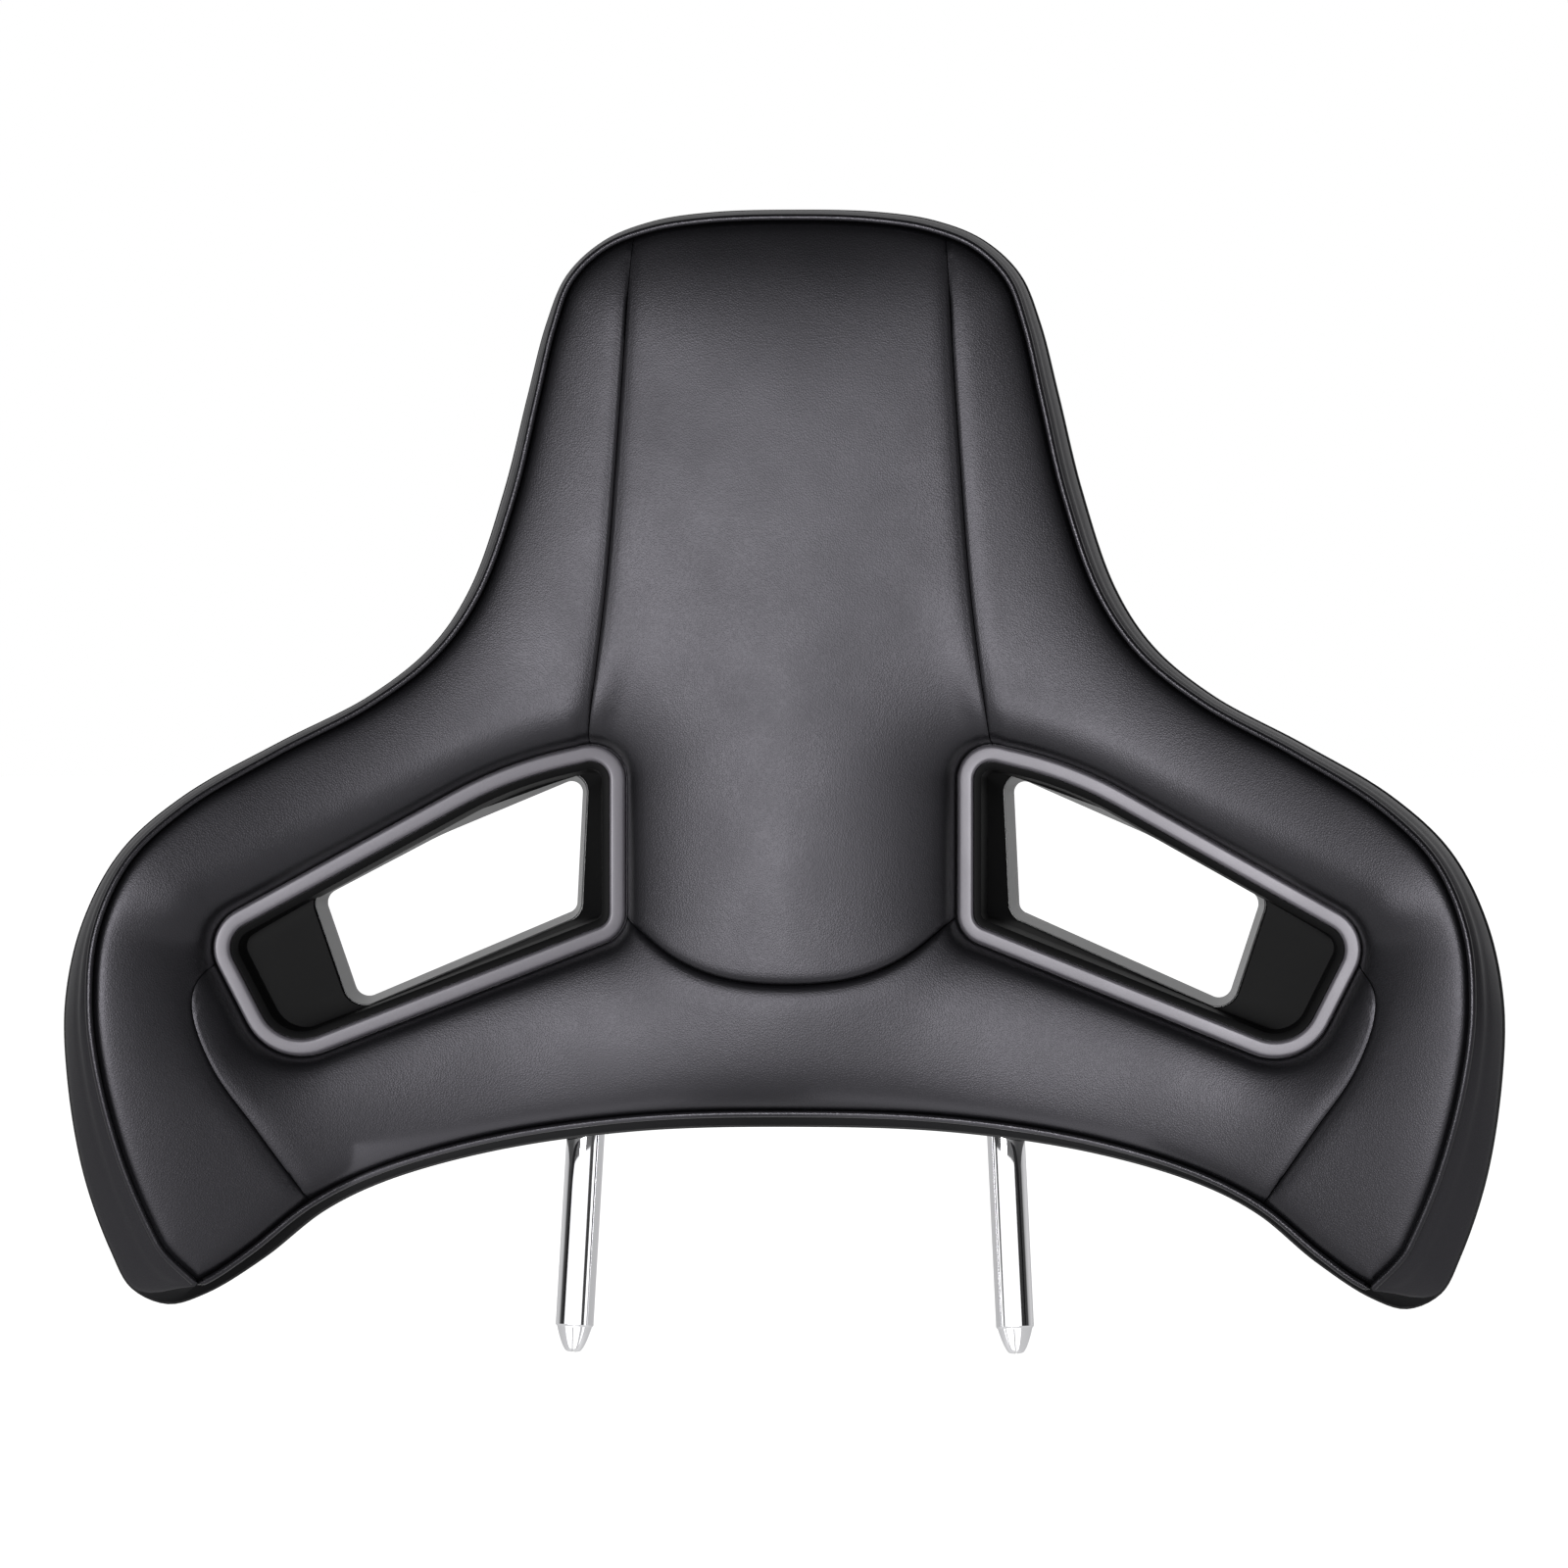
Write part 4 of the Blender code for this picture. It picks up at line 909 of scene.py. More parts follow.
def cover_net(form):
    """One net for the whole front, with close rows of points beside the edge, bezels and seams."""
    hole = inset_loop(form.bezel, COVER_TUCK)
    centre, arc, wing = seam_lines(form)
    seams = [centre, mirrored(centre), arc, wing, mirrored(wing)]
    lines = [offset_line(seam, side * SEAM_GAP / 2) for seam in seams for side in (-1, 1)]
    closed = np.vstack([form.seat, form.seat[:1]])
    lines += [closed, mirrored(closed)]
    outward = [-d for d in BEZEL_RINGS]
    free = [rings_inside(form.front, EDGE_RINGS)]
    free += [rings_inside(loop, outward) for loop in (form.bezel, mirrored(form.bezel))]
    offsets = [(seam, side * row) for row in SEAM_ROWS for seam in seams for side in (-1, 1)]
    free += [offset_line(seam, offset) for seam, offset in offsets]
    net, tris = fine_net([form.front, hole, mirrored(hole)], lines, np.vstack(free), NET_PITCH)
    return net, tris, seams


def panel_masks(net, tris, seams):
    """Triangles of each panel, leaving out the gaps of the seams."""
    centre, _, arc, wing, _ = seams
    arc_half = arc[:len(arc) // 2 + 1]
    centre_area = np.vstack([centre, arc_half])
    centre_area = np.vstack([[[0.0, centre[0][1]]], centre_area, [[0.0, arc_half[-1][1]]]])
    lower_area = np.vstack([wing, [[0.0, wing[-1][1]]], [[0.0, arc_half[-1][1]]], arc_half[::-1]])
    middle = net[tris].mean(1)
    right = right_half(middle)
    to_seam = np.min([distance_to(right, line) for line in (centre, arc, wing)], axis=0)
    solid = to_seam > SEAM_GAP * SEAM_CLEARANCE
    in_centre = inside(right, centre_area)
    in_lower = inside(right, lower_area) & ~in_centre
    at_side = ~in_centre & ~in_lower
    return {
        "centre_pad": solid & in_centre,
        "lower_pad": solid & in_lower,
        "side_pad_right": solid & at_side & (middle[:, 0] > 0),
        "side_pad_left": solid & at_side & (middle[:, 0] < 0),
    }


PAD_NODES = {
    "centre_pad": ("centre_panel", "foam_core"),
    "lower_pad": ("lower_panel",),
    "side_pad_right": ("side_panel_right",),
    "side_pad_left": ("side_panel_left",),
}


def build_pads(form, leather):
    """Leather over moulded foam: four closed pads on one net, rolled down into every seam."""
    net, tris, seams = cover_net(form)
    flat = form.place(net, -COVER_FLARE, PIPING_DIAMETER / 2 + GAP)
    outer = form.front_y(flat)
    back = form.place(net, CARRIER_FLARE, CARRIER_INSET)
    rear = form.carrier_y(back)
    pads = []
    for name, mask in panel_masks(net, tris, seams).items():
        own = [tuple(int(i) for i in t) for t in tris[mask]]
        solid = layer(lifted(flat, outer), lifted(back, rear), own)
        pad = add_piece(name, *solid, leather, PAD_SHARP_ANGLE)
        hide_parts(*PAD_NODES[name])
        pads.append(pad)
    return pads


# Band, piping and trim round the edge

def band_span(form, k, leather):
    """Where the leather, or the trim that takes over round the wing tip, starts and ends."""
    along = min(k, len(form.rear) - k) - form.tip
    share = 1 - np.clip((along + WRAP_STEPS + 1) / (WRAP_STEPS + 1), 0, 1) ** WRAP_POWER
    if leather:
        return 0.0, max(share, LEATHER_LEAST)
    return (min(share + WRAP_GAP, TRIM_START_MOST) if share > 0 else 0.0), 1.0


def fold(x, share):
    """Height of the fold that the stretched leather forms beside the piping, except at the top."""
    height = math.exp(-((share - FOLD_PLACE) / FOLD_WIDTH) ** 2)
    height -= FOLD_VALLEY_DEPTH * math.exp(-((share - FOLD_VALLEY) / FOLD_WIDTH) ** 2)
    return FOLD_HEIGHT * eased(abs(x), FOLD_START, FOLD_FULL) * height


def band_rows(form, run, bow, leather):
    """Cross-sections of the band from the piping back to the rim, hemmed at both edges."""
    rows = []
    for k in run:
        low, high = band_span(form, k, leather)
        inward = np.array([form.inward[k][0], 0.0, form.inward[k][1]])
        front, rear = form.front[k], form.rear[k]
        front_y = piping_y(front[0]) + PIPING_DIAMETER / 2 + GAP - BAND_TUCK
        start = np.array([front[0], front_y, front[1]])
        end = np.array([rear[0], rim_y(rear[0]) - GAP, rear[1]]) + inward * RIM_REVEAL
        section = []
        for step in range(BAND_STEPS + 1):
            own = step / BAND_STEPS
            share = low + (high - low) * own
            lift = bow * 4 * share * (1 - share)
            if leather:
                lift += fold(front[0], share)
            hem = min(own, 1 - own) / HEM_ROLL
            lift -= HEM_DROP * (1 - min(1.0, hem)) ** 2
            section.append(start + (end - start) * share - inward * lift)
        for step in range(BAND_STEPS, -1, -BAND_WALL_STRIDE):
            wall = BAND_WALL * min(1.0, BAND_EDGE_SHARE + step / BAND_STEPS / HEM_ROLL)
            section.append(section[step] + inward * wall)
        rows.append(section)
    return rows


def trimmed(rows, amount):
    """Pulls the two end sections back along the run."""
    rows = [np.array(r, float) for r in rows]
    for end, other in ((0, 1), (-1, -2)):
        rows[end] = rows[end] + unit(rows[other].mean(0) - rows[end].mean(0)) * amount
    return rows


def cord_tree():
    """Nodes that turn a line into a round piping cord."""
    tree = bpy.data.node_groups.new("piping_cord", "GeometryNodeTree")
    kinds = (("Line", "Geometry"), ("Cord Radius", "Float"), ("Cord Sides", "Int"),
             ("Cord Leather", "Material"))
    for name, kind in kinds:
        tree.interface.new_socket(name, in_out="INPUT", socket_type="NodeSocket" + kind)
    tree.interface.new_socket("Cord", in_out="OUTPUT", socket_type="NodeSocketGeometry")
    inputs = tree.nodes.new("NodeGroupInput")
    to_curve = tree.nodes.new("GeometryNodeMeshToCurve")
    section = tree.nodes.new("GeometryNodeCurvePrimitiveCircle")
    sweep = tree.nodes.new("GeometryNodeCurveToMesh")
    sweep.inputs["Fill Caps"].default_value = True
    real = tree.nodes.new("GeometryNodeRealizeInstances")
    finish = tree.nodes.new("GeometryNodeSetMaterial")
    output = tree.nodes.new("NodeGroupOutput")
    link = tree.links.new
    link(inputs.outputs["Line"], to_curve.inputs["Mesh"])
    link(inputs.outputs["Cord Sides"], section.inputs["Resolution"])
    link(inputs.outputs["Cord Radius"], section.inputs["Radius"])
    link(to_curve.outputs["Curve"], sweep.inputs["Curve"])
    link(section.outputs["Curve"], sweep.inputs["Profile Curve"])
    link(sweep.outputs["Mesh"], real.inputs["Geometry"])
    link(real.outputs["Geometry"], finish.inputs["Geometry"])
    link(inputs.outputs["Cord Leather"], finish.inputs["Material"])
    link(finish.outputs["Geometry"], output.inputs["Cord"])
    return tree


def set_input(modifier, name, value):
    for item in modifier.node_group.interface.items_tree:
        if item.name == name and item.in_out == "INPUT":
            modifier[item.identifier] = value


def build_cord(name, tree, path, leather):
    mesh = bpy.data.meshes.new(name)
    edges = [(k, k + 1) for k in range(len(path) - 1)]
    mesh.from_pydata((np.array(path) * MM).tolist(), edges, [])
    cord = linked(name, mesh)
    modifier = cord.modifiers.new("Piping", "NODES")
    modifier.node_group = tree
    set_input(modifier, "Cord Radius", PIPING_DIAMETER / 2 * MM)
    set_input(modifier, "Cord Sides", CORD_SIDES)
    set_input(modifier, "Cord Leather", leather)
    settle(cord)
    turn_outwards(cord.data, CORD_MERGE_DISTANCE)
    return cord


def build_edge(form, leather, piping, plastic):
    upper, lower = edge_runs(len(form.rear), form.tip)
    wrapped = edge_runs(len(form.rear), form.tip, WRAP_STEPS)[1]
    sections = trimmed(band_rows(form, upper, BAND_BOW, True), GAP)
    band = add_piece("gusset_band", *strip_solid(sections), leather)
    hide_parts("side_band")
    sections = trimmed(band_rows(form, wrapped, TRIM_BOW, False), GAP)
    trim = add_piece("lower_lip", *strip_solid(sections), plastic)
    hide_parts("lower_trim")
    tree = cord_tree()
    pieces = [band, trim]
    line = lifted(form.front, piping_y(form.front[:, 0]))
    runs = (("upper_cord", "edge_piping", upper), ("lower_cord", "lower_piping", lower))
    for name, node, run in runs:
        path = trimmed([[line[k]] for k in run], PIPING_DIAMETER / 2 + GAP)
        cord = build_cord(name, tree, [p[0] for p in path], piping)
        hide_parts(node)
        pieces.append(cord)
    return pieces


# Rear shell

def build_shell(form, plastic):
    """Moulded back: crowned face, rounded edge, side wall and a rounded rim against the band."""
    hole = inset_loop(form.opening, -(TUNNEL_WALL + GAP))
    edge_loop = inset_loop(form.rear, SHELL_BEVEL)
    free = rings_inside(edge_loop, SHELL_RINGS)
    net, tris = fine_net([edge_loop, hole, mirrored(hole)], [], free, SHELL_PITCH)
    first = [int(np.argmin(((net - p) ** 2).sum(1))) for p in edge_loop]
    face = form.shell_y(net)
    away = distance_to(net, edge_loop, closed=True)
    fade = (1 - np.clip(away / SHELL_INNER_FADE, 0, 1)) ** 2
    shift = carried(net, edge_loop, inward_normals(form.rear))
    inner_net = net + shift * (SHELL_WALL * fade)[:, None]
    count = len(net)
    faces = [tuple(int(i) for i in t) for t in tris]
    after = first[1:] + first[:1]
    outer_ring = set(zip(first, after)) | set(zip(after, first))
    holes = [edge for edge in boundary_edges(faces) if edge not in outer_ring]
    faces += [tuple(count + i for i in t[::-1]) for t in faces]
    faces += [(b, a, count + a, count + b) for a, b in holes]
    rim = rim_y(form.rear[:, 0])
    turns = [math.pi / 2 * k / ROUND_STEPS for k in range(ROUND_STEPS + 1)]
    wall = []
    for turn in turns[1:]:
        drop = SHELL_BEVEL * (1 - math.cos(turn)) * SHELL_BEVEL_DEPTH
        inset = SHELL_BEVEL * (1 - math.sin(turn))
        wall.append(lifted(inset_loop(form.rear, inset), face[first] - drop))
    for turn in turns:
        inset = RIM_ROUND * (1 - math.cos(turn))
        wall.append(lifted(inset_loop(form.rear, inset), rim + RIM_ROUND * (1 - math.sin(turn))))
    wall.append(lifted(inset_loop(form.rear, SHELL_WALL), rim))
    faces += bridged([first] + numbered(wall, 2 * count) + [[count + i for i in first]])
    verts = np.vstack([lifted(net, face), lifted(inner_net, face - SHELL_WALL)] + wall)
    shell = add_piece("rear_moulding", *compacted(verts, faces), plastic)
    for side in (-1, 1):
        ends = [post_point(side, JOG_START - POST_HOLE_LENGTH), post_point(side, JOG_START)]
        radius = POST_DIAMETER / 2 + 2 * GAP + GROMMET_WALL
        cut(shell, add_piece("post_hole", *sweep_tube(ends, [radius, radius], TUBE_SIDES), plastic))
    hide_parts("rear_shell")
    return [shell]


# Bezels and the tunnels behind them

def quarter(start, end):
    """Quarter round between two points of a profile, bulging towards its face."""
    (n0, d0), (n1, d1) = start, end
    points = []
    for k in range(QUARTER_STEPS + 1):
        turn = math.pi / 2 * k / QUARTER_STEPS
        if d1 < d0:
            points.append((n0 + (n1 - n0) * (1 - math.cos(turn)), d0 + (d1 - d0) * math.sin(turn)))
        else:
            points.append((n0 + (n1 - n0) * math.sin(turn), d0 + (d1 - d0) * (1 - math.cos(turn))))
    return points


def build_opening(form, side, name, paint, plastic, neck_plastic_painted_reflection):
    """Painted ring, black liner behind it, and a paler semi-gloss neck where the liner meets the
    shell; the neck's grey is partly its own tone and partly painted reflection of the bright
    backdrop at a grazing angle.
    """
    flip = mirrored if side < 0 else np.asarray

    def ring(inset, depth):
        loop = flip(inset_loop(form.bezel, inset))
        return lifted(loop, bezel_y(loop[:, 0]) + depth)

    width, face, edge = BEZEL_WIDTH, BEZEL_FACE, BEZEL_ROUND
    profile = [(0.0, BEZEL_HEIGHT)] + quarter((0.0, edge), (edge, 0.0))
    middle = face / 2
    profile += [(middle + away, -BEZEL_FACE_CROWN) for away in (-BEZEL_FACE_FLAT, BEZEL_FACE_FLAT)]
    profile += quarter((face - edge, 0.0), (face, edge))
    profile += [(face, BEZEL_COLLAR_DEPTH), (face - BEZEL_COLLAR, BEZEL_COLLAR_DEPTH)]
    profile += [(face - BEZEL_COLLAR, BEZEL_HEIGHT)]
    rings = [ring(inset, depth) for inset, depth in profile]
    frame_ring = add_piece("bezel_ring_" + name, *ring_solid(rings), paint)
    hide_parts("bezel_" + name)

    def neck(inset, lift):
        loop = flip(inset_loop(form.opening, inset))
        level = flip(form.opening)
        return lifted(loop, form.shell_y(level) + lift)

    step, draft = TUNNEL_STEP_DEPTH, TUNNEL_STEP_DRAFT
    floor_edge = ring(width + draft, step)
    throat = neck(-NECK_FLARE, -NECK_DEPTH)
    lip = face + GAP
    inner = [
        ring(lip, LEDGE_DEPTH),
        ring(width - LEDGE_ROUND, LEDGE_DEPTH + LEDGE_SLOPE),
        ring(width, LEDGE_DEPTH + LEDGE_ROUND),
        ring(width + draft * 0.5, (LEDGE_DEPTH + step) / 2),
        ring(width + draft * 0.9, step - TUNNEL_STEP_ROUND),
    ]
    inner += [floor_edge + (throat - floor_edge) * share for share in TUNNEL_SHARES]
    outer = [
        neck(-NECK_FLARE, -NECK_DEPTH + TUNNEL_WALL),
        ring(width + draft - TUNNEL_WALL, step + TUNNEL_WALL),
        ring(lip, BEZEL_COLLAR_DEPTH + GAP),
    ]
    tunnel = add_piece("tunnel_liner_" + name, *ring_solid(inner + outer), plastic)
    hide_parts("tunnel_" + name)

    mouth = NECK_FLARE - NECK_GROOVE
    flange = -NECK_DEPTH + TUNNEL_WALL + GAP
    front = [neck(-mouth - NECK_LIP, -NECK_DEPTH + NECK_LIP), neck(-mouth, -NECK_DEPTH)]
    for share in NECK_SHARES:
        lift = -NECK_DEPTH * (1 - share) - NECK_SETBACK * share
        front.append(neck(-mouth * (1 - share), lift))
    front += [neck(inset, lift) for inset, lift in NECK_ROLL]
    back = [
        neck(-TUNNEL_WALL, TUNNEL_PROUD),
        neck(-mouth - TUNNEL_WALL, flange),
        neck(-mouth - NECK_LIP, flange),
    ]
    # Neck in the paler grey plastic, whose colour is partly painted reflection of the bright
    # backdrop at a grazing angle.
    rim = add_piece("tunnel_neck_" + name, *ring_solid(front + back), neck_plastic_painted_reflection)
    return [frame_ring, tunnel, rim]


# Steel hoop and its collars

def post_point(side, z):
    x = POST_TIP_SPACING / 2 - math.tan(POST_SPLAY) * z
    return np.array([side * x, math.tan(POST_LEAN) * z, z])


def filleted_path(points, radii, step):
    path = [points[0]]
    for a, b, c, radius in zip(points, points[1:], points[2:], radii):
        centre, first, last, turn = fillet(a, b, c, radius)
        axis = Vector(np.cross(first, last))
        count = max(2, math.ceil(turn * radius / step))
        for k in range(count + 1):
            spin = Matrix.Rotation(turn * k / count, 3, axis)
            path.append(centre + np.array(spin @ Vector(first)))
    path.append(points[-1])
    return np.array(path)


def hoop_path():
    right = [
        post_point(1, 0.0),
        post_point(1, JOG_START),
        np.array([HOOP_HALF_WIDTH, HOOP_DEPTH, JOG_END]),
        np.array([HOOP_HALF_WIDTH, HOOP_DEPTH, HOOP_TOP]),
    ]
    corners = right + [p * [-1, 1, 1] for p in right[::-1]]
    radii = [JOG_RADIUS, JOG_RADIUS, HOOP_RADIUS, HOOP_RADIUS, JOG_RADIUS, JOG_RADIUS]
    return filleted_path(corners, radii, HOOP_STEP)


def tip_radius(height):
    """Swaged end of a post: a small shoulder, then an ogive."""
    radius = POST_DIAMETER / 2
    if height >= POST_TIP_LENGTH:
        return radius
    share = height / POST_TIP_LENGTH
    ogive = POST_TIP_END + (POST_TIP_SHOULDER - POST_TIP_END) * share ** POST_TIP_POWER
    shoulder = np.clip((height - POST_TIP_LENGTH) / POST_SHOULDER_RISE + 1, 0, 1)
    return ogive + (radius - ogive) * shoulder


def build_hoop(chrome):
    path = hoop_path()
    along = unit(path[1] - path[0])
    tip = [path[0] + along * height for height in POST_TIP_HEIGHTS]
    taper = [tip_radius(height) for height in POST_TIP_HEIGHTS]
    for k, share in enumerate(POST_TIP_ROUND):
        taper[k] *= share
    whole = tip + list(path[1:-1]) + [p * [-1, 1, 1] for p in tip[::-1]]
    radii = taper + [POST_DIAMETER / 2] * (len(path) - 2) + taper[::-1]
    hoop = add_piece("chrome_hoop", *sweep_tube(whole, radii, TUBE_SIDES), chrome)
    half, reach = SLIT_WIDTH / 2, POST_DIAMETER
    for side in (-1, 1):
        corners = []
        for x, _, z in (post_point(side, -SLIT_OVERRUN), post_point(side, SLIT_LENGTH)):
            corners += [(x - half, -reach, z), (x + half, -reach, z)]
            corners += [(x + half, reach, z), (x - half, reach, z)]
        faces = [(0, 1, 2, 3), (7, 6, 5, 4), (0, 4, 5, 1), (1, 5, 6, 2), (2, 6, 7, 3), (3, 7, 4, 0)]
        cut(hoop, add_piece("slit", corners, faces, chrome))
    smooth(hoop.data, HOOP_SHARP_ANGLE)
    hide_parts("post_hoop")
    return [hoop]


def build_grommets(plastic):
    pieces = []
    for side, name in ((-1, "left"), (1, "right")):
        inner = POST_DIAMETER / 2 + GAP
        outer = inner + GROMMET_WALL
        low = OUTLINE[-2][1] - GROMMET_PROUD
        start, end = post_point(side, low), post_point(side, low + GROMMET_LENGTH)
        axis = unit(end - start)
        across = unit(np.cross(axis, [0.0, 1.0, 0.0]))
        up = np.cross(axis, across)
        turns = [2 * math.pi * k / TUBE_SIDES for k in range(TUBE_SIDES)]
        spokes = [math.cos(a) * across + math.sin(a) * up for a in turns]
        edge = GROMMET_ROUND
        sections = [
            (start + axis * edge, inner),
            (start, inner + edge),
            (start, outer - edge),
            (start + axis * edge, outer),
            (end, outer),
            (end, inner),
        ]
        rings = [place + radius * np.array(spokes) for place, radius in sections]
        collar = add_piece("post_collar_" + name, *ring_solid(rings), plastic)
        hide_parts("post_grommet_" + name)
        pieces.append(collar)
    return pieces


# Materials

def new_material(name, colour, roughness, metallic=0.0, specular=0.5):
    mat = bpy.data.materials.new(name)
    mat.use_nodes = True
    shader = mat.node_tree.nodes["Principled BSDF"]
    shader.inputs["Base Color"].default_value = (*colour, 1.0)
    shader.inputs["Roughness"].default_value = roughness
    shader.inputs["Metallic"].default_value = metallic
    shader.inputs["Specular IOR Level"].default_value = specular
    return mat, mat.node_tree, shader


def object_coordinates(tree, stretch=(1.0, 1.0, 1.0)):
    coordinates = tree.nodes.new("ShaderNodeTexCoord")
    mapping = tree.nodes.new("ShaderNodeMapping")
    mapping.inputs["Scale"].default_value = stretch
    tree.links.new(coordinates.outputs["Object"], mapping.inputs["Vector"])
    return mapping.outputs["Vector"]


def noise_texture(tree, vector, scale, detail=3.0, rough=0.5):
    texture = tree.nodes.new("ShaderNodeTexNoise")
    texture.inputs["Scale"].default_value = scale
    texture.inputs["Detail"].default_value = detail
    texture.inputs["Roughness"].default_value = rough
    tree.links.new(vector, texture.inputs["Vector"])
    return texture.outputs["Fac"]


def ranged(tree, value, low, high, full=1.0):
    """Smooth step of a value between 0 and full, mapped to low and high."""
    node = tree.nodes.new("ShaderNodeMapRange")
    node.interpolation_type = "SMOOTHSTEP"
    node.inputs["From Max"].default_value = full
    node.inputs["To Min"].default_value = low
    node.inputs["To Max"].default_value = high
    tree.links.new(value, node.inputs["Value"])
    return node.outputs["Result"]


def vary(tree, shader, value, smooth_level, rough_level):
    """Lets the roughness follow a value."""
    tree.links.new(ranged(tree, value, smooth_level, rough_level), shader.inputs["Roughness"])


def tint(tree, shader, value, dark, light):
    """Lets the colour follow a value."""
    node = tree.nodes.new("ShaderNodeMix")
    node.data_type = "RGBA"
    node.inputs["A"].default_value = (*dark, 1.0)
    node.inputs["B"].default_value = (*light, 1.0)
    tree.links.new(value, node.inputs["Factor"])
    tree.links.new(node.outputs["Result"], shader.inputs["Base Color"])


def bumped(tree, shader, height, distance, strength=1.0, under=None):
    bump = tree.nodes.new("ShaderNodeBump")
    bump.inputs["Distance"].default_value = distance
    bump.inputs["Strength"].default_value = strength
    tree.links.new(height, bump.inputs["Height"])
    if under is not None:
        tree.links.new(under, bump.inputs["Normal"])
    tree.links.new(bump.outputs["Normal"], shader.inputs["Normal"])
    return bump.outputs["Normal"]


def leather_material(name, roughness, grain):
    """Fine-grained black leather: pebbles with creases between them, pores and a soft sheen."""
    mat, tree, shader = new_material(name, (0.004, 0.004, 0.005), roughness, specular=0.55)
    shader.inputs["Specular Tint"].default_value = (0.93, 0.9, 1.0, 1.0)
    vector = object_coordinates(tree)
    pebbles = tree.nodes.new("ShaderNodeTexVoronoi")
    pebbles.feature = "DISTANCE_TO_EDGE"
    pebbles.inputs["Scale"].default_value = 1 / (grain * MM)
    tree.links.new(vector, pebbles.inputs["Vector"])
    creases = ranged(tree, pebbles.outputs["Distance"], low=0.0, high=1.0, full=0.3)
    skin = noise_texture(tree, vector, scale=0.6 / (grain * MM), detail=4.0, rough=0.6)
    soft = noise_texture(tree, vector, scale=28.0, detail=2.0)
    creased = bumped(tree, shader, creases, distance=0.00005, strength=0.5)
    bumped(tree, shader, skin, distance=0.00005, strength=0.45, under=creased)
    vary(tree, shader, soft, roughness - 0.05, roughness + 0.05)
    tint(tree, shader, soft, (0.0035, 0.0035, 0.0042), (0.005, 0.005, 0.006))
    return mat


def plastic_material(name, colour, roughness, grain, specular):
    """Moulded plastic with a fine spark-eroded grain."""
    mat, tree, shader = new_material(name, colour, roughness, specular=specular)
    vector = object_coordinates(tree)
    texture = noise_texture(tree, vector, scale=1 / (grain * MM), detail=3.0, rough=0.6)
    patches = noise_texture(tree, vector, scale=18.0, detail=2.0)
    bumped(tree, shader, texture, distance=0.00005, strength=0.35)
    vary(tree, shader, patches, roughness - 0.04, roughness + 0.04)
    tint(tree, shader, patches, colour, tuple(c * 1.25 for c in colour))
    return mat


def paint_material():
    """Satin violet-grey paint with fine metallic flake."""
    mat, tree, shader = new_material("satin_bezel_paint", (0.13, 0.123, 0.14), 0.38, metallic=0.25)
    vector = object_coordinates(tree)
    flake = noise_texture(tree, vector, scale=2600.0, detail=2.0)
    cloud = noise_texture(tree, vector, scale=40.0, detail=2.0)
    bumped(tree, shader, flake, distance=0.00002, strength=0.15)
    tint(tree, shader, flake, (0.115, 0.108, 0.125), (0.145, 0.138, 0.155))
    vary(tree, shader, cloud, 0.34, 0.42)
    return mat


def chrome_material():
    """Bright plating with the faintest run of polishing lines down the tube."""
    mat, tree, shader = new_material("bright_chrome", (0.86, 0.86, 0.88), 0.06, metallic=1.0)
    vector = object_coordinates(tree, stretch=(1.0, 1.0, 0.02))
    lines = noise_texture(tree, vector, scale=1400.0, detail=2.0)
    cloud = noise_texture(tree, object_coordinates(tree), scale=60.0, detail=2.0)
    bumped(tree, shader, lines, distance=0.000004, strength=0.03)
    vary(tree, shader, cloud, 0.04, 0.08)
    return mat


def steel_material():
    """Rolled and plated sheet steel inside the head restraint."""
    mat, tree, shader = new_material("plated_steel", (0.36, 0.36, 0.37), 0.4, metallic=1.0)
    vector = object_coordinates(tree, stretch=(1.0, 1.0, 6.0))
    rolled_marks = noise_texture(tree, vector, scale=220.0, detail=4.0)
    bumped(tree, shader, rolled_marks, distance=0.00002, strength=0.2)
    vary(tree, shader, rolled_marks, 0.32, 0.5)
    return mat


# Studio

def shape_world():
    """Soft surroundings: dim in front and at the sides, bright behind, white to the camera."""
    world = bpy.data.worlds.new("studio")
    world.use_nodes = True
    tree = world.node_tree
    background = tree.nodes["Background"]
    background.inputs["Color"].default_value = (1.0, 1.0, 1.0, 1.0)
    direction = tree.nodes.new("ShaderNodeTexCoord")
    split = tree.nodes.new("ShaderNodeSeparateXYZ")
    depth = tree.nodes.new("ShaderNodeMapRange")
    depth.inputs["From Min"].default_value = -1.0
    ramp = tree.nodes.new("ShaderNodeValToRGB")
    ramp.color_ramp.interpolation = "EASE"
    stops = ramp.color_ramp.elements
    while len(stops) < len(STUDIO_RAMP):
        stops.new(0.5)
    for stop, (place, level) in zip(stops, STUDIO_RAMP):
        stop.position = place
        stop.color = (level, level, level, 1.0)
    path = tree.nodes.new("ShaderNodeLightPath")
    seen = tree.nodes.new("ShaderNodeMix")
    seen.inputs["B"].default_value = 1.0
    link = tree.links.new
    link(direction.outputs["Generated"], split.inputs["Vector"])
    link(split.outputs["Y"], depth.inputs["Value"])
    link(depth.outputs["Result"], ramp.inputs["Fac"])
    link(ramp.outputs["Color"], seen.inputs["A"])
    link(path.outputs["Is Camera Ray"], seen.inputs["Factor"])
    link(seen.outputs["Result"], background.inputs["Strength"])
    bpy.context.scene.world = world


def hang_light(name, place, aim, width, height, radiance):
    """Rectangular studio light; sizes in millimetres."""
    data = bpy.data.lights.new(name, "AREA")
    data.shape = "RECTANGLE"
    data.size = width * MM
    data.size_y = height * MM
    data.energy = radiance * math.pi * width * height * MM ** 2
    lamp = linked(name, data)
    lamp.matrix_world = (aim - place).to_track_quat("-Z", "Y").to_matrix().to_4x4()
    lamp.location = place * MM


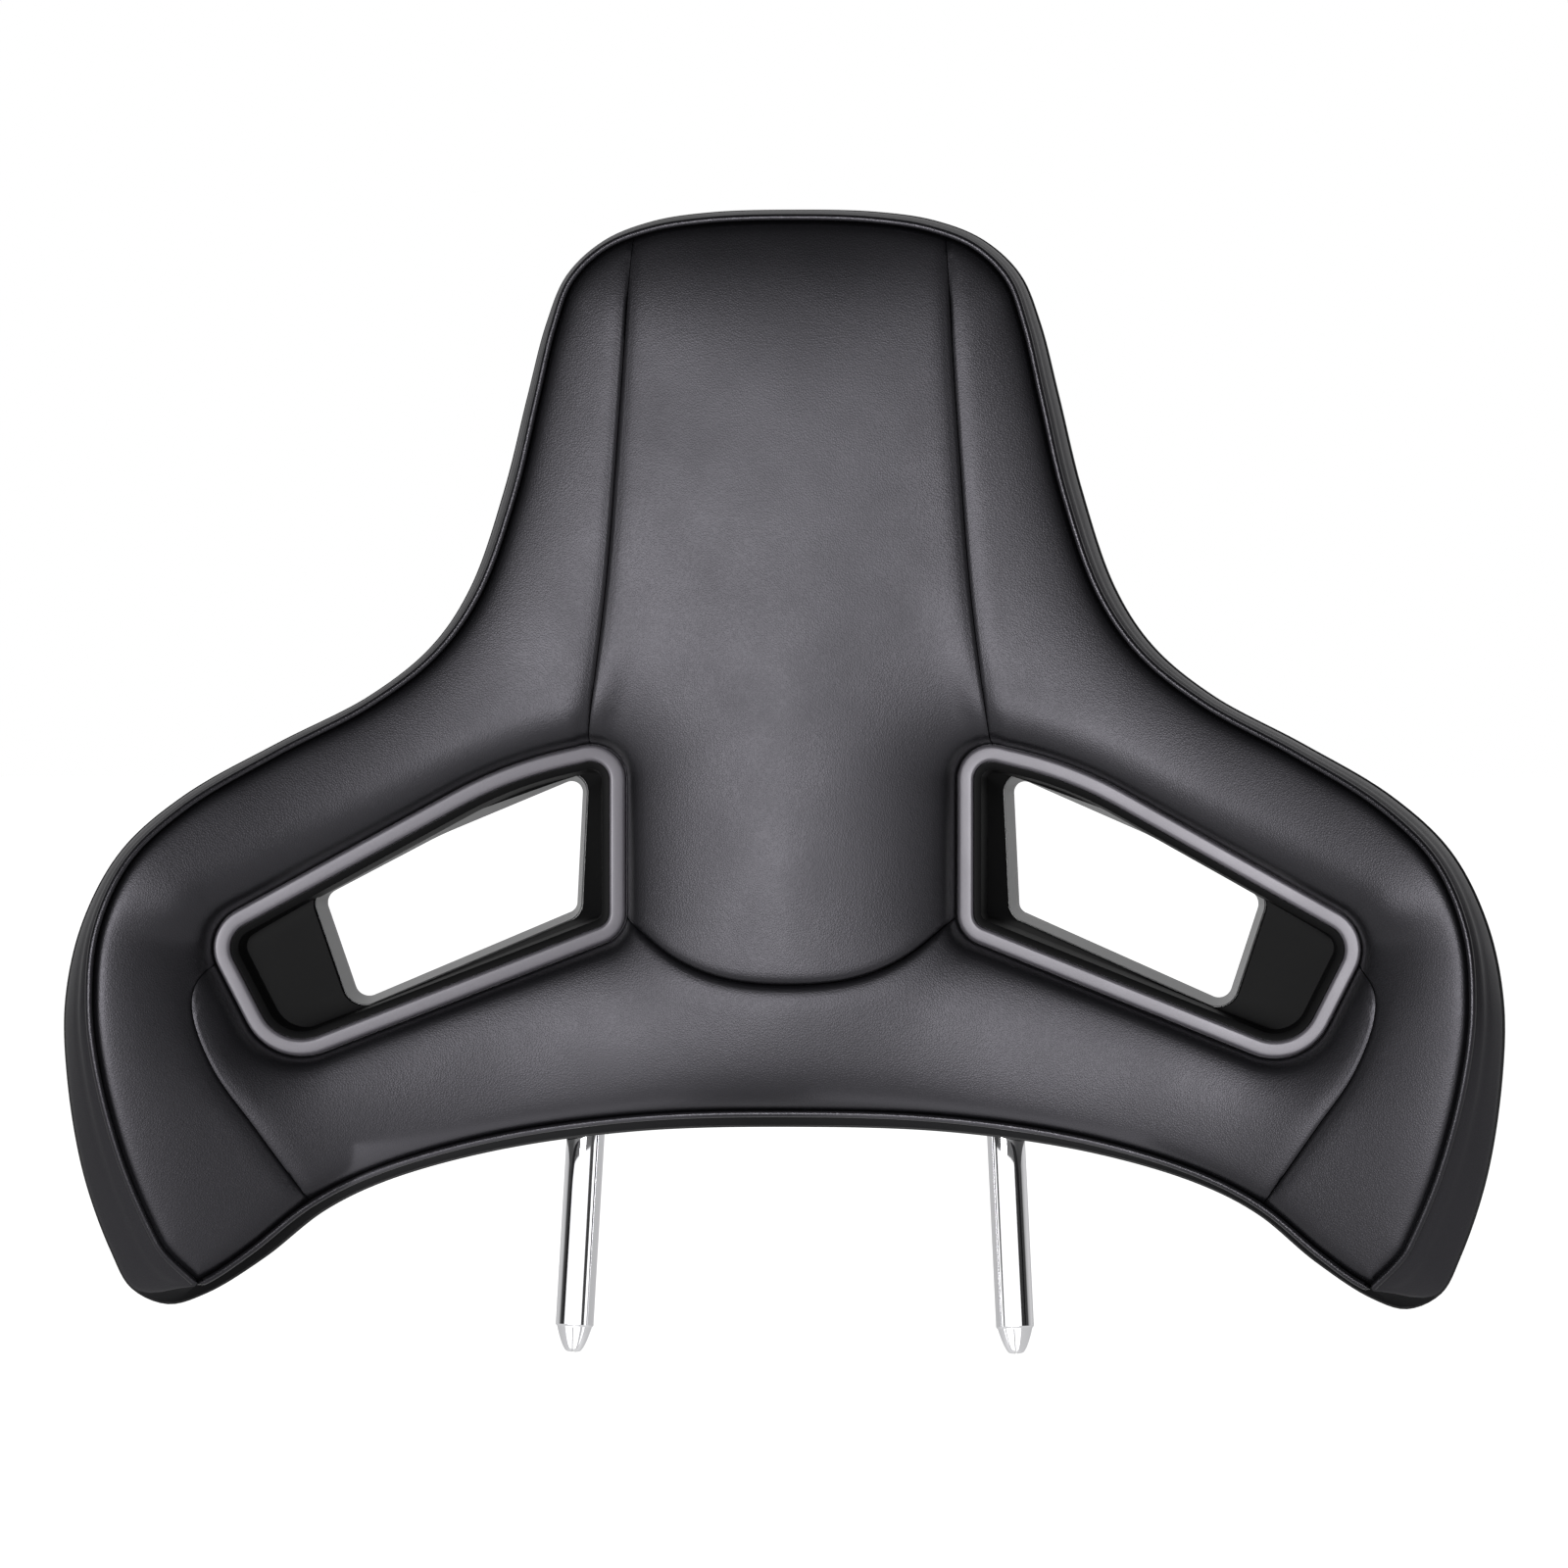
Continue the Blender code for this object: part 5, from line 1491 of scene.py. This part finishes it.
def hang_lights():
    """Softbox level with the pad, a little to the left, and a faint card before each post."""
    softbox = (SOFTBOX_PLACE, SOFTBOX_AIM, SOFTBOX_WIDTH, SOFTBOX_HEIGHT, SOFTBOX_RADIANCE)
    hang_light("softbox", *softbox)
    for name, side in (("card_left", -1), ("card_right", 1)):
        post = Vector((post_point(side, CARD_LEVEL)[0] + CARD_SHIFT, 0.0, CARD_LEVEL))
        card = post - Vector((0.0, CARD_DISTANCE, 0.0))
        hang_light(name, card, post, CARD_WIDTH, CARD_HEIGHT, CARD_RADIANCE)


def worked_out(tree, operation, *terms):
    """One sum of the material, on sockets or numbers."""
    node = tree.nodes.new("ShaderNodeMath")
    node.operation = operation
    for socket, term in zip(node.inputs, terms):
        if isinstance(term, float):
            socket.default_value = term
        else:
            tree.links.new(term, socket)
    return node.outputs["Value"]


def build_floor():
    """Plain pale floor that stays white to the camera and keeps the shadow."""
    grey = (FLOOR_GREY, FLOOR_GREY, FLOOR_GREY)
    mat, tree, shader = new_material("pale_floor", grey, 0.9, specular=0.0)
    shader.inputs["Emission Color"].default_value = (1.0, 1.0, 1.0, 1.0)
    ray = tree.nodes.new("ShaderNodeLightPath").outputs
    mirrored_ray = worked_out(tree, "MAXIMUM", ray["Is Glossy Ray"], ray["Is Transmission Ray"])
    dimmed = worked_out(tree, "MULTIPLY", mirrored_ray, FLOOR_MIRROR_SHARE)
    seen = worked_out(tree, "MAXIMUM", ray["Is Camera Ray"], dimmed)
    glow = worked_out(tree, "MULTIPLY", seen, FLOOR_GLOW)
    tree.links.new(glow, shader.inputs["Emission Strength"])
    r, z = FLOOR_REACH * MM, FLOOR_HEIGHT * MM
    mesh = bpy.data.meshes.new("floor")
    mesh.from_pydata([(-r, -r, z), (r, -r, z), (r, r, z), (-r, r, z)], [], [(0, 1, 2, 3)])
    mesh.materials.append(mat)
    linked("floor", mesh)


def place_camera():
    azimuth, elevation = CAMERA_AZIMUTH, CAMERA_ELEVATION
    level = math.cos(elevation)
    back = Vector((math.sin(azimuth) * level, -math.cos(azimuth) * level, math.sin(elevation)))
    right = Vector((math.cos(azimuth), math.sin(azimuth), 0.0))
    up = back.cross(right)
    data = bpy.data.cameras.new("camera")
    data.lens = CAMERA_LENS
    data.sensor_width = SENSOR_WIDTH
    data.clip_start = 0.05
    data.clip_end = 200.0
    camera = linked("camera", data)
    place = Matrix((right, up, back)).transposed().to_4x4()
    place.translation = (CAMERA_TARGET + back * CAMERA_DISTANCE) * MM
    camera.matrix_world = place
    bpy.context.scene.camera = camera


def finish_nodes(names, mat):
    """Gives CAD nodes that stay as they are their finish."""
    for name in names:
        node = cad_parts[name]
        node.data.materials.clear()
        node.data.materials.append(mat)


def main():
    bpy.context.scene.view_settings.view_transform = "Standard"
    place_camera()
    shape_world()
    hang_lights()
    build_floor()
    form = Form()
    leather = leather_material("black_leather_grain", roughness=0.42, grain=0.9)
    piping = leather_material("piping_leather_grain", roughness=0.3, grain=0.7)
    shell, liner, trim, neck, carrier = (plastic_material(*finish) for finish in PLASTICS)
    steel = steel_material()
    pieces = build_pads(form, leather)
    pieces += build_edge(form, leather, piping, trim)
    pieces += build_shell(form, shell)
    paint = paint_material()
    # neck is the paler grey plastic, partly painted reflection of the backdrop on the tunnel necks.
    pieces += build_opening(form, 1, "right", paint, liner, neck)
    pieces += build_opening(form, -1, "left", paint, liner, neck)
    pieces += build_hoop(chrome_material())
    pieces += build_grommets(shell)
    for piece in pieces:
        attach(piece, "root")
    finish_nodes(["front_carrier"], carrier)
    hardware = ["frame_plate", "hoop_clamp_left", "hoop_clamp_right"]
    hardware += [f"clamp_screw_{number}" for number in range(1, 5)]
    finish_nodes(hardware, steel)


main()
